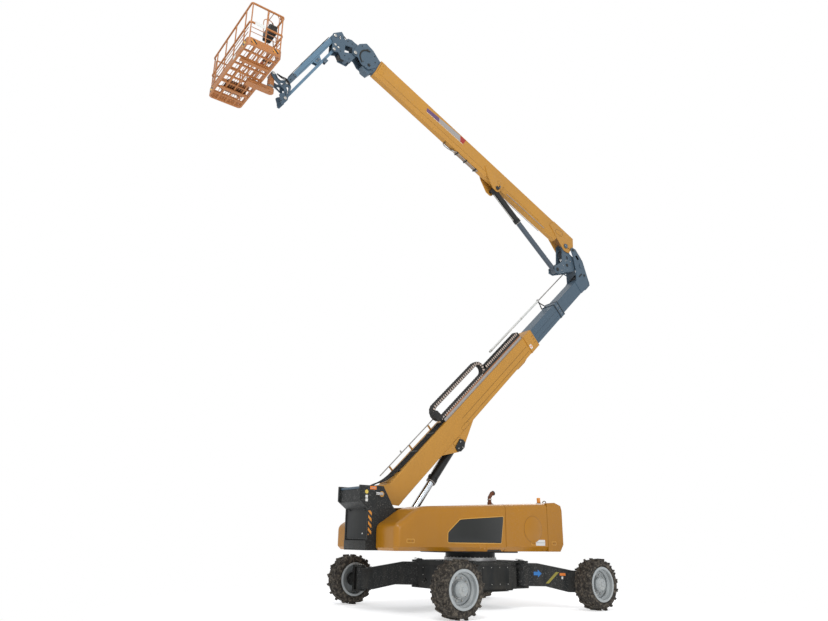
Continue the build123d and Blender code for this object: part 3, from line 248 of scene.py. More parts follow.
@dataclass(frozen=True)
class Paint:
    """Sprayed and baked paint on steel or a moulded cover, its colour as on a screen."""

    name: str
    colour: Colour
    gloss: float = 0.32
    coat: float = 0.35
    dust: float = 0.25
    chips: float = 0.5
    dust_top: float = 1.6
    shine: float = 0.28

    def build(self) -> bpy.types.Material:
        """Makes the material: fine orange peel, fading, settled dust, and chipped edges."""
        g = Graph(self.name)
        own = linear(*self.colour)
        dull = tuple(0.94 * c + 0.006 for c in own)
        rich = tuple(min(1.0, 1.04 * c) for c in own)
        cloud = g.noise(0.9, 3.0, 0.5)
        base = g.mix(cloud.ramp(0.32, 0.7), dull, rich)
        streak = g.noise(7.0, 4.0, 0.55, (1.0, 1.0, 0.15))
        low = 1.0 - g.axis("Z").ramp(0.1, self.dust_top)
        dirt = (streak.ramp(0.42, 0.85) * (0.22 + low) * self.dust).clamped()
        base = g.mix(dirt, base, DUST)
        rub = (g.edges(0.54, 0.64) * g.noise(38.0, 4.0).ramp(0.55, 0.66) * self.chips).clamped()
        base = g.mix(rub, base, STEEL_EDGE)
        rough = self.gloss + cloud * 0.08 + dirt * 0.35
        peel = g.bump(g.noise(420.0, 2.0), 0.05, 0.0015)
        return g.surface(Base_Color=base, Roughness=rough, Coat_Weight=self.coat, Coat_Roughness=0.12,
            Normal=peel, Specular_IOR_Level=self.shine)


@dataclass(frozen=True)
class Metal:
    """Bare or plated metal."""

    name: str
    colour: Colour
    rough: float = 0.25
    grain: float = 0.3
    stretch: Colour = (1.0, 1.0, 1.0)

    def build(self) -> bpy.types.Material:
        """Makes the material: turning marks, smears and small tarnish."""
        g = Graph(self.name)
        smear = g.noise(14.0, 5.0, 0.6, self.stretch)
        dark = tuple(0.72 * c for c in self.colour)
        base = g.mix(smear.ramp(0.4, 0.75), self.colour, dark)
        rough = self.rough + smear.ramp(0.3, 0.8) * 0.16
        fine = g.bump(g.noise(600.0, 2.0, 0.5, self.stretch), 0.05 * self.grain, 0.001)
        return g.surface(Base_Color=base, Roughness=rough, Metallic=1.0, Normal=fine)


@dataclass(frozen=True)
class Rubber:
    """Black rubber or moulded plastic, with bloom and dust."""

    name: str
    colour: Colour
    rough: float = 0.62
    dust: float = 0.35
    pore: float = 260.0

    def build(self) -> bpy.types.Material:
        """Makes the material: pores, grey bloom, and dust in the noise."""
        g = Graph(self.name)
        bloom = g.noise(5.0, 5.0, 0.6)
        base = g.mix(bloom.ramp(0.4, 0.7) * 0.5, self.colour, tuple(1.7 * c + 0.004 for c in self.colour))
        dust = (g.noise(16.0, 6.0, 0.65).ramp(0.46, 0.74) * self.dust).clamped()
        base = g.mix(dust, base, DUST)
        rough = self.rough + bloom * 0.2
        pores = g.bump(g.noise(self.pore, 3.0), 0.25, 0.002)
        return g.surface(Base_Color=base, Roughness=rough, Normal=pores, Specular_IOR_Level=0.2)


@dataclass(frozen=True)
class Hazard:
    """Slanted warning bars in two colours over a painted edge."""

    name: str
    first: Colour
    second: Colour
    pitch: float = 0.16
    lean: Colour = (0.0, 1.0, 1.0)

    def build(self) -> bpy.types.Material:
        """Makes the material from bars slanted in the machine's frame."""
        g = Graph(self.name)
        run = g.axis("X") * self.lean[0] + g.axis("Y") * self.lean[1] + g.axis("Z") * self.lean[2]
        bars = (run / self.pitch).fraction().above(0.5)
        base = g.mix(bars, self.first, self.second)
        scuff = (g.noise(30.0, 5.0).ramp(0.55, 0.75) * 0.3).clamped()
        base = g.mix(scuff, base, DUST)
        return g.surface(Base_Color=base, Roughness=0.42 + scuff * 0.3)


@dataclass(frozen=True)
class Lens:
    """Clear coloured plastic of a lamp."""

    name: str
    colour: Colour

    def build(self) -> bpy.types.Material:
        """Makes the material: ribbed and glossy."""
        g = Graph(self.name)
        ribs = (g.axis("Z") * 90.0).fraction()
        return g.surface(Base_Color=g.mix(ribs * 0.3, self.colour, tuple(0.7 * c for c in self.colour)),
            Roughness=0.18, Normal=g.bump(ribs, 0.3, 0.002))


class Finish(Enum):
    """Every finish on the machine."""

    OCHRE = Paint("ochre_paint", (176, 126, 48), 0.38, 0.06, 0.08, 0.3)
    OCHRE_SHADE = Paint("ochre_shade", (112, 78, 28), 0.5, 0.0, 0.08, 0.0)
    COVER = Paint("cover_paint", (162, 108, 10), 0.22, 0.14, 0.05, 0.08, 2.2)
    # A lighter copy of the cover paint: a painted highlight on the beads and recess rims.
    COVER_PALE = Paint("cover_pale", (196, 146, 58), 0.24, 0.14, 0.03, 0.0)
    COVER_SHADE = Paint("cover_shade", (104, 68, 8), 0.4, 0.05, 0.05, 0.0)
    SLATE = Paint("slate_paint", (66, 84, 98), 0.38, 0.05, 0.06, 0.3)
    SLATE_SHADE = Paint("slate_shade", (36, 47, 56), 0.5, 0.0, 0.06, 0.0)
    SLATE_ROD = Paint("slate_rod", (64, 74, 84), 0.24, 0.2, 0.03, 0.1)
    JIB_BLUE = Paint("jib_paint", (86, 114, 134), 0.38, 0.05, 0.05, 0.22)
    DARK = Paint("dark_paint", (36, 37, 36), 0.44, 0.02, 0.09, 0.4, 1.6, 0.18)
    BLACK = Paint("frame_black", (30, 32, 32), 0.4, 0.02, 0.07, 0.3, 1.6, 0.18)
    PANEL_BLACK = Paint("panel_black", (30, 32, 31), 0.26, 0.05, 0.02, 0.0, 1.6, 0.25)
    CYLINDER = Paint("cylinder_black", (27, 28, 28), 0.32, 0.04, 0.05, 0.22, 1.6, 0.2)
    RIM = Paint("rim_silver", (158, 163, 164), 0.36, 0.05, 0.16, 0.25)
    # The basket's yellow-orange paint darkened to a copper brown: painted shade over the whole basket.
    BASKET_SHADED = Paint("basket_paint", (164, 106, 58), 0.44, 0.04, 0.07, 0.4)
    BASKET_DARK = Paint("basket_dark", (80, 52, 34), 0.5, 0.0, 0.08, 0.2)
    COPPER = Paint("copper_line", (160, 104, 62), 0.36, 0.1, 0.04, 0.0)
    RUST = Paint("rust_pipe", (104, 60, 36), 0.62, 0.0, 0.16, 0.3)
    WHITE = Paint("white_plate", (206, 206, 202), 0.4, 0.1, 0.05, 0.0)
    ORANGE = Paint("orange_plate", (216, 120, 44), 0.4, 0.1, 0.05, 0.0)
    YELLOW = Paint("yellow_plate", (208, 182, 82), 0.4, 0.1, 0.05, 0.0)
    OLIVE = Paint("olive_mark", (140, 130, 50), 0.4, 0.05, 0.08, 0.0)
    BLUE = Paint("blue_mark", (36, 110, 178), 0.4, 0.1, 0.06, 0.0)
    PURPLE = Paint("purple_band", (92, 66, 104), 0.34, 0.1, 0.04, 0.0)
    GREY = Paint("grey_band", (148, 144, 140), 0.34, 0.1, 0.04, 0.0)
    RED = Paint("red_band", (152, 44, 38), 0.34, 0.1, 0.04, 0.0)
    RED_PEDAL = Paint("red_pedal", (186, 50, 50), 0.42, 0.05, 0.04, 0.2)
    CHROME = Metal("rod_chrome", (0.56, 0.6, 0.64), 0.1, 0.2)
    STEEL = Metal("bare_steel", (0.42, 0.42, 0.42), 0.34, 1.0)
    ZINC = Metal("zinc_bolts", (0.5, 0.49, 0.46), 0.36, 0.8)
    TYRE = Rubber("tyre_rubber", linear(42, 39, 36), 0.78, 0.4)
    HOSE = Rubber("hose_rubber", linear(22, 22, 23), 0.46, 0.06)
    CHAIN = Rubber("chain_plastic", linear(34, 34, 34), 0.5, 0.08)
    CHAIN_PALE = Rubber("chain_pale", linear(160, 146, 136), 0.5, 0.08)
    HAZARD = Hazard("hazard_bars", linear(24, 24, 24), linear(214, 168, 40), 0.15)
    HAZARD_X = Hazard("hazard_side_bars", linear(24, 24, 24), linear(196, 128, 40), 0.13, (-1.0, 0.0, 1.0))
    AMBER = Lens("amber_lens", linear(240, 160, 60))
    ENGINE = Metal("engine_metal", (0.22, 0.22, 0.22), 0.55, 1.0)


class Paintshop:
    """Builds each finish once and puts it on pieces."""

    def __init__(self) -> None:
        """Starts with no material made."""
        self.made: dict[Finish, bpy.types.Material] = {}

    def of(self, finish: Finish) -> bpy.types.Material:
        """The material of a finish, made on first use."""
        if finish not in self.made:
            self.made[finish] = finish.value.build()
        return self.made[finish]

    def dress(self, piece: Piece, finish: Finish) -> Piece:
        """Gives a piece one finish."""
        piece.data.materials.clear()
        piece.data.materials.append(self.of(finish))
        return piece


# Workbench


@dataclass(frozen=True)
class Plane:
    """A right-handed drawing plane: its origin, first and second axes, and the way out of it."""

    origin: Vector
    across: Vector
    up: Vector

    @property
    def out(self) -> Vector:
        """The way out of the plane."""
        return self.across.cross(self.up)

    def at(self, a: float, b: float, c: float = 0.0) -> Vector:
        """The machine's point for plane coordinates a and b, and c outwards."""
        return self.origin + self.across * a + self.up * b + self.out * c

    def matrix(self, a: float = 0.0, b: float = 0.0, c: float = 0.0) -> Matrix:
        """Placement matrix whose own X, Y, Z are the plane's three directions."""
        place = Matrix((self.across, self.up, self.out)).transposed().to_4x4()
        place.translation = self.at(a, b, c)
        return place

    def moved(self, a: float, b: float, c: float) -> Plane:
        """The same plane from another origin."""
        return Plane(self.at(a, b, c), self.across, self.up)

    def ring(self, radius: float, count: int, rise: float) -> list[Matrix]:
        """Placements spaced evenly round the plane's origin."""
        turns = (math.tau * k / count for k in range(count))
        return [self.moved(radius * math.cos(t), radius * math.sin(t), rise).matrix() for t in turns]


def flank(y: float, left: bool = True) -> Plane:
    """Side plane at a Y, facing +Y for the left flank: first axis -X or +X, second +Z."""
    across = Vector((-1, 0, 0)) if left else AHEAD
    return Plane(Vector((0, y, 0)), across, UP)


def level(x: float, y: float, z: float) -> Plane:
    """Plane at a point that faces up, its first axis +X."""
    return Plane(Vector((x, y, z)), AHEAD, LEFT)


def facing(x: float, y: float, z: float, way: int = 1) -> Plane:
    """Plane at a point that faces along +X or -X, its second axis +Z."""
    return Plane(Vector((x, y, z)), Vector((0, way, 0)), UP)


def bevelled(inner: float, outer: float, edge: float, crown: float, top: float) -> list[Point]:
    """Profile of a ring or cap with a chamfered upper rim: radii, and the heights of edge and top."""
    return [(inner, 0.0), (outer, 0.0), (outer, edge), (crown, top), (inner, top)]


class Bench:
    """Adds and shapes meshes with Blender's own tools."""

    def __init__(self, shop: Paintshop) -> None:
        """Keeps the paint shop that finishes each piece."""
        self.shop = shop

    @staticmethod
    def clear() -> None:
        """Leaves edit mode and selects nothing."""
        if bpy.context.object and bpy.context.object.mode != "OBJECT":
            bpy.ops.object.mode_set(mode="OBJECT")
        bpy.ops.object.select_all(action="DESELECT")

    def hold(self, piece: Piece) -> None:
        """Makes a piece the only selected and active one."""
        self.clear()
        piece.select_set(True)
        bpy.context.view_layer.objects.active = piece

    def settle(self, piece: Piece, name: str, smooth: float = 40.0) -> Piece:
        """Bakes a piece's place into its mesh and smooths it below an angle.

        Args:
            piece: The object to settle.
            name: Its final name.
            smooth: Edges flatter than this many degrees look round.

        Returns:
            The same object.
        """
        self.hold(piece)
        bpy.ops.object.transform_apply(location=True, rotation=True, scale=True)
        bpy.ops.object.shade_smooth_by_angle(angle=math.radians(smooth))
        piece.name = name
        piece.data.name = name
        return piece

    def outward(self, piece: Piece) -> None:
        """Merges doubles and turns every face outwards."""
        self.hold(piece)
        bpy.ops.object.mode_set(mode="EDIT")
        bpy.ops.mesh.select_all(action="SELECT")
        bpy.ops.mesh.remove_doubles(threshold=0.00002)
        bpy.ops.mesh.normals_make_consistent(inside=False)
        bpy.ops.object.mode_set(mode="OBJECT")

    def bevel(self, piece: Piece, width: float, segments: int = 2, angle: float = 35.0) -> None:
        """Rounds a piece's sharp edges and applies the rounding."""
        if width <= 0:
            return
        self.hold(piece)
        modifier = piece.modifiers.new("edge", "BEVEL")
        modifier.width = width
        modifier.segments = segments
        modifier.limit_method = "ANGLE"
        modifier.angle_limit = math.radians(angle)
        bpy.ops.object.modifier_apply(modifier=modifier.name)

    def plate(self, name: str, plane: Plane, outline: list[Point], thick: float, finish: Finish,
            bevel: float = 0.0, segments: int = 2) -> Piece:
        """Cuts a plate to an outline and gives it thickness outwards.

        Args:
            name: The piece's name.
            plane: Where it is drawn.
            outline: Corners in the plane.
            thick: Thickness out of the plane.
            finish: Its finish.
            bevel: Edge rounding.
            segments: Steps of the rounding.

        Returns:
            The finished plate.
        """
        self.clear()
        bpy.ops.mesh.primitive_circle_add(vertices=len(outline), radius=1.0, fill_type="NGON")
        piece = bpy.context.object
        for vertex, point in zip(piece.data.vertices, outline):
            vertex.co = plane.at(*point)
        bpy.ops.object.mode_set(mode="EDIT")
        bpy.ops.mesh.select_all(action="SELECT")
        bpy.ops.mesh.extrude_region_move(TRANSFORM_OT_translate={"value": tuple(plane.out * thick)})
        bpy.ops.object.mode_set(mode="OBJECT")
        self.outward(piece)
        self.bevel(piece, bevel, segments)
        return self.shop.dress(self.settle(piece, name), finish)

    def block(self, name: str, plane: Plane, size: Colour, finish: Finish, bevel: float = 0.004) -> Piece:
        """Makes a block standing on a plane's origin, with rounded edges."""
        across, up, deep = size
        outline = [(-across / 2, -up / 2), (across / 2, -up / 2), (across / 2, up / 2), (-across / 2, up / 2)]
        return self.plate(name, plane, outline, deep, finish, bevel)

    def turned(self, name: str, plane: Plane, profile: list[Point], finish: Finish, steps: int = 32,
            smooth: float = 40.0) -> Piece:
        """Turns a closed profile round the plane's outward axis.

        Args:
            name: The piece's name.
            plane: Its origin is on the axis and its outward way is along it.
            profile: Closed loop of radius and height pairs, none on the axis.
            finish: Its finish.
            steps: Faces round the axis.
            smooth: Edges flatter than this look round.

        Returns:
            The finished piece.
        """
        self.clear()
        bpy.ops.mesh.primitive_circle_add(vertices=len(profile), radius=1.0, fill_type="NOTHING")
        piece = bpy.context.object
        for vertex, (radius, height) in zip(piece.data.vertices, profile):
            vertex.co = plane.at(max(radius, 0.0004), 0.0, height)
        bpy.ops.object.mode_set(mode="EDIT")
        bpy.ops.mesh.select_all(action="SELECT")
        bpy.ops.mesh.spin(steps=steps, angle=math.tau, center=tuple(plane.origin), axis=tuple(plane.out))
        bpy.ops.object.mode_set(mode="OBJECT")
        self.outward(piece)
        return self.shop.dress(self.settle(piece, name, smooth), finish)

    def boss(self, name: str, plane: Plane, radius: float, height: float, finish: Finish, dome: float = 0.0,
            steps: int = 24) -> Piece:
        """Makes a round boss with a softened rim on a plane."""
        soft = min(0.25 * height, 0.12 * radius)
        profile = [(0.0, 0.0), (radius, 0.0), (radius, height - soft), (radius - soft, height),
            (0.0, height + dome)]
        return self.turned(name, plane, profile, finish, steps)

    def nut(self, name: str, plane: Plane, across: float, height: float, finish: Finish) -> Piece:
        """Makes a hexagon bolt head with a washer and a chamfered crown."""
        self.clear()
        bpy.ops.mesh.primitive_cylinder_add(vertices=6, radius=across / math.sqrt(3), depth=height)
        head = bpy.context.object
        head.matrix_world = plane.matrix(c=height / 2 + 0.15 * height)
        self.bevel(head, 0.09 * height, 1, 20)
        self.settle(head, name, 25)
        self.shop.dress(head, finish)
        washer = self.boss(name + "_washer", plane, 0.66 * across, 0.18 * height, finish, steps=16)
        return self.join([head, washer], name)

    def nuts(self, name: str, across: float, height: float, places: list[Matrix],
            finish: Finish = Finish.ZINC) -> Piece:
        """Sets the same hexagon bolt at every place."""
        return self.repeat(self.nut(name, HOME, across, height, finish), name, places)

    def rod(self, name: str, start: Vector | Colour, end: Vector | Colour, radius: float, finish: Finish,
            steps: int = 16, soft: float = 0.0) -> Piece:
        """Makes a straight round bar between two points."""
        start, end = Vector(start), Vector(end)
        run = (end - start).normalized()
        side = run.orthogonal().normalized()
        plane = Plane(start, side, run.cross(side))
        length = (end - start).length
        profile = [(0.0, 0.0), (radius - soft, 0.0), (radius, soft), (radius, length - soft),
            (radius - soft, length), (0.0, length)] if soft else [(0.0, 0.0), (radius, 0.0), (radius, length),
            (0.0, length)]
        return self.turned(name, plane, profile, finish, steps)

    def hose(self, name: str, route: list[Vector | Colour], radius: float, finish: Finish = Finish.HOSE,
            sides: int = 3) -> Piece:
        """Runs a tube along a smooth route and makes it a mesh.

        Args:
            name: The piece's name.
            route: Points that the line is drawn towards.
            radius: Half the tube's diameter.
            finish: Its finish.
            sides: Curve resolution of the round section.

        Returns:
            The finished tube.
        """
        self.clear()
        curve = bpy.data.curves.new(name, "CURVE")
        curve.dimensions = "3D"
        spline = curve.splines.new("NURBS")
        spline.points.add(len(route) - 1)
        for point, place in zip(spline.points, route):
            point.co = (*place, 1.0)
        spline.order_u = 3
        spline.use_endpoint_u = True
        curve.resolution_u = 6
        curve.bevel_depth = radius
        curve.bevel_resolution = sides
        curve.use_fill_caps = True
        made = bpy.data.objects.new(name, curve)
        bpy.context.scene.collection.objects.link(made)
        self.hold(made)
        bpy.ops.object.convert(target="MESH")
        return self.shop.dress(self.settle(bpy.context.object, name, 60), finish)

    def join(self, pieces: list[Piece], name: str) -> Piece:
        """Joins pieces into one object, each keeping its finish."""
        self.clear()
        for piece in pieces:
            piece.select_set(True)
        bpy.context.view_layer.objects.active = pieces[0]
        if len(pieces) > 1:
            bpy.ops.object.join()
        joined = bpy.context.object
        joined.name = name
        joined.data.name = name
        return joined

    def within(self, piece: Piece, radius: float) -> None:
        """Draws in whatever stands out past a radius round the Y axis."""
        for vertex in piece.data.vertices:
            reach = math.hypot(vertex.co.x, vertex.co.z)
            if reach > radius:
                vertex.co.x *= radius / reach
                vertex.co.z *= radius / reach

    @staticmethod
    def copy(piece: Piece, name: str, place: Matrix) -> Piece:
        """Copies a piece made at the origin to a place."""
        twin = piece.copy()
        twin.data = piece.data.copy()
        twin.data.transform(place)
        twin.name = name
        bpy.context.scene.collection.objects.link(twin)
        return twin

    def repeat(self, piece: Piece, name: str, places: list[Matrix]) -> Piece:
        """Copies a piece made at the origin to each place and joins the copies.

        Args:
            piece: The pattern, made on the plane of the machine's origin.
            name: The joined piece's name.
            places: Where each copy goes.

        Returns:
            One object with every copy.
        """
        copies = [self.copy(piece, name, place) for place in places]
        bpy.data.objects.remove(piece, do_unlink=True)
        return self.join(copies, name)


HOME = level(0, 0, 0)
AXLE = Plane(Vector((0, 0, 0)), AHEAD, Vector((0, 0, -1)))


def lean(angle: float, backwards: bool) -> tuple[Vector, Vector]:
    """Directions along and square to a boom raised by an angle in degrees.

    Args:
        angle: Elevation in degrees.
        backwards: Whether the boom points towards -X.

    Returns:
        The two unit vectors.
    """
    c, s = math.cos(math.radians(angle)), math.sin(math.radians(angle))
    if backwards:
        return Vector((-c, 0, s)), Vector((s, 0, c))
    return Vector((c, 0, s)), Vector((-s, 0, c))


@dataclass(frozen=True)
class Arm:
    """A boom's own axes: where it is pivoted, the way along it and the way up out of it."""

    root: Vector
    along: Vector
    up: Vector

    def point(self, a: float, p: float, y: float = 0.0) -> Vector:
        """The machine's point at a along, p up and y to the left."""
        return self.root + self.along * a + self.up * p + Vector((0, y, 0))

    def sign(self, y: float) -> int:
        """Which way the first axis runs so that a side plane faces away from the middle."""
        left = self.along.cross(self.up).y > 0
        return 1 if (y > 0) == left else -1

    def side(self, y: float) -> Plane:
        """Plane on the flank at y, facing outwards."""
        return Plane(self.root + Vector((0, y, 0)), self.along * self.sign(y), self.up)

    def drawn(self, outline: list[Point], y: float) -> list[Point]:
        """An outline in along and up, turned for that flank's plane."""
        if self.sign(y) > 0:
            return outline
        return [(-a, p) for a, p in reversed(outline)]

    def roof(self, a: float, p: float, y: float = 0.0) -> Plane:
        """Plane square to the boom's upward way."""
        return Plane(self.point(a, p, y), self.along, self.up.cross(self.along))

    def belly(self, a: float, p: float, y: float = 0.0) -> Plane:
        """Plane that faces down out of the boom."""
        return Plane(self.point(a, p, y), self.along, (-self.up).cross(self.along))

    def route(self, *bends: tuple[float, ...]) -> list[Vector]:
        """The machine's points for a line given by the along, up and left of each bend."""
        return [self.point(*bend) for bend in bends]


TOWER = Arm(Vector((2.99, 0.0, 2.47)), *lean(43.9, True))
MAIN = Arm(Vector((-4.112, 0.0, 10.626)), *lean(23.2, False))
JIB = Arm(Vector((4.678, 0.0, 14.438)), *lean(-59.3, False))
LINK = Arm(Vector((4.689, 0.0, 13.983)), *lean(-59.3, False))
UPRIGHT = Arm(Vector((0.0, 0.0, 0.0)), AHEAD, UP)


def stadium(a: float, b: float, length: float, width: float, steps: int = 7) -> list[Point]:
    """Outline of a long hole or boss about a centre, its length along the first axis."""
    radius, straight = width / 2, length / 2 - width / 2
    points = []
    for end in (1, -1):
        for step in range(steps):
            turn = math.pi * (step / (steps - 1) - 0.5) + (0.0 if end > 0 else math.pi)
            points.append((a + end * straight + radius * math.cos(turn), b + radius * math.sin(turn)))
    return points


def rounded(a: float, b: float, length: float, width: float, corner: float, steps: int = 4) -> list[Point]:
    """Outline of a rectangle with round corners about a centre."""
    points = []
    for quarter, (sa, sb) in enumerate(((1, 1), (-1, 1), (-1, -1), (1, -1))):
        for step in range(steps):
            turn = math.pi / 2 * (quarter + step / (steps - 1))
            points.append((a + sa * (length / 2 - corner) + corner * math.cos(turn),
                b + sb * (width / 2 - corner) + corner * math.sin(turn)))
    return points


def flanks(sides: Flanks) -> tuple[float, ...]:
    """The Y of each flank, where one number stands for both."""
    return (sides, -sides) if isinstance(sides, float) else sides


class SubAssembly:
    """A part of the machine that builds its pieces and dresses its CAD nodes."""

    def __init__(self, bench: Bench, frame: dict[str, object]) -> None:
        """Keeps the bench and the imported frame."""
        self.bench = bench
        self.frame = frame

    def coat(self, finish: Finish, *nodes: str) -> None:
        """Gives CAD nodes their finish."""
        for node in nodes:
            self.bench.shop.dress(self.frame["nodes"][node], finish)

    def ride(self, piece: Piece, body: str, slot: str) -> None:
        """Fixes a piece to a body and logs which body it rides on."""
        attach(piece, body)
        log.info("%s rides on %s", piece.name, body)

    def mount(self, pieces: list[Piece], name: str, body: str, slot: str) -> None:
        """Joins pieces and fixes them to a body."""
        self.ride(self.bench.join(pieces, name), body, slot)

    def plates(self, name: str, arm: Arm, sides: Flanks, outline: list[Point], thick: float, finish: Finish,
            bevel: float = 0.0) -> Piece:
        """Cuts the same plate on one or both flanks of an arm.

        Args:
            name: The joined piece's name.
            arm: The arm whose axes the outline is drawn in.
            sides: The Y of each flank's surface, or one Y for both flanks alike.
            outline: Corners in along and up.
            thick: Thickness outwards.
            finish: Its finish.
            bevel: Edge rounding.

        Returns:
            One object with every plate.
        """
        made = [self.bench.plate(name, arm.side(y), arm.drawn(outline, y), thick, finish, bevel)
            for y in flanks(sides)]
        return self.bench.join(made, name)

    def bolts(self, name: str, arm: Arm, sides: Flanks, spots: list[Point], across: float, height: float,
            finish: Finish = Finish.ZINC) -> Piece:
        """Sets hexagon bolts on one or both flanks of an arm."""
        places = [arm.side(y).moved(a * arm.sign(y), p, 0.0).matrix() for y in flanks(sides)
            for a, p in spots]
        return self.bench.nuts(name, across, height, places, finish)

    def bosses(self, name: str, arm: Arm, sides: Flanks, spot: Point, radius: float, height: float,
            finish: Finish, dome: float = 0.0) -> Piece:
        """Sets a round boss on one or both flanks of an arm."""
        made = [self.bench.boss(name, arm.side(y).moved(spot[0] * arm.sign(y), spot[1], 0.0), radius, height,
            finish, dome) for y in flanks(sides)]
        return self.bench.join(made, name)

    def embossed(self, name: str, arm: Arm, sides: Flanks, outer: list[Point], inner: list[Point],
            paint: Finish = Finish.OCHRE, shade: Finish = Finish.OCHRE_SHADE) -> Piece:
        """Shows a pressed shape: a shadowed rim with the paint's own colour standing in it."""
        rim = self.plates(name + "_rim", arm, sides, outer, 0.002, shade)
        face = self.plates(name + "_face", arm, sides, inner, 0.0035, paint, 0.001)
        return self.bench.join([rim, face], name)

    def cylinder(self, name: str, top: Vector, run: Vector, radius: float, reach: float, rod: float) -> None:
        """Dresses one lift cylinder.

        Args:
            name: The cylinder's name.
            top: Its trunnion.
            run: Unit vector down its rod.
            radius: Barrel radius.
            reach: From the trunnion to the barrel's mouth.
            rod: Rod radius.
        """
        bench = self.bench
        across = LEFT
        plane = Plane(top, across, run.cross(across))
        gland = bench.turned("gland", plane.moved(0, 0, reach), [(rod + 0.0045, -0.002),
            (radius + 0.01, -0.002), (radius + 0.01, 0.012), (radius + 0.002, 0.02), (rod + 0.0045, 0.02)],
            Finish.GREY, 40)
        ring = bench.turned("weld", plane.moved(0, 0, reach - 0.13), [(radius - 0.002, 0.0),
            (radius + 0.006, 0.004), (radius + 0.006, 0.016), (radius - 0.002, 0.02)], Finish.CYLINDER, 40)
        nuts = bench.nuts("gland_bolts", 0.016, 0.008, plane.ring(radius - 0.002, 12, reach + 0.014))
        front = plane.up if plane.up.x > 0 else -plane.up
        pipe = bench.hose("pipe", [top + front * (radius + 0.014) + run * 0.1,
            top + front * (radius + 0.02) + run * 0.3, top + front * (radius + 0.02) + run * (reach - 0.24),
            top + front * (radius + 0.008) + run * (reach - 0.12)], 0.01, Finish.ZINC)
        block = bench.block("port", Plane(top + front * (radius - 0.004) + run * (reach - 0.1), across,
            front.cross(across)), (0.06, 0.08, 0.035), Finish.CYLINDER, 0.004)
        self.mount([gland, ring, nuts, pipe, block], f"{name}_fittings", f"{name}_barrel", "cylinder_black")


@dataclass
class WheelSizes:
    """Sizes of one wheel, in metres."""

    centre_x: float = 2.15
    centre_y: float = 2.078
    radius: float = 0.5775
    width: float = 0.445
    seat: float = 0.355
    flange: float = 0.391
    lug: float = 0.034
    lugs: int = 16
    slant: float = 30.0


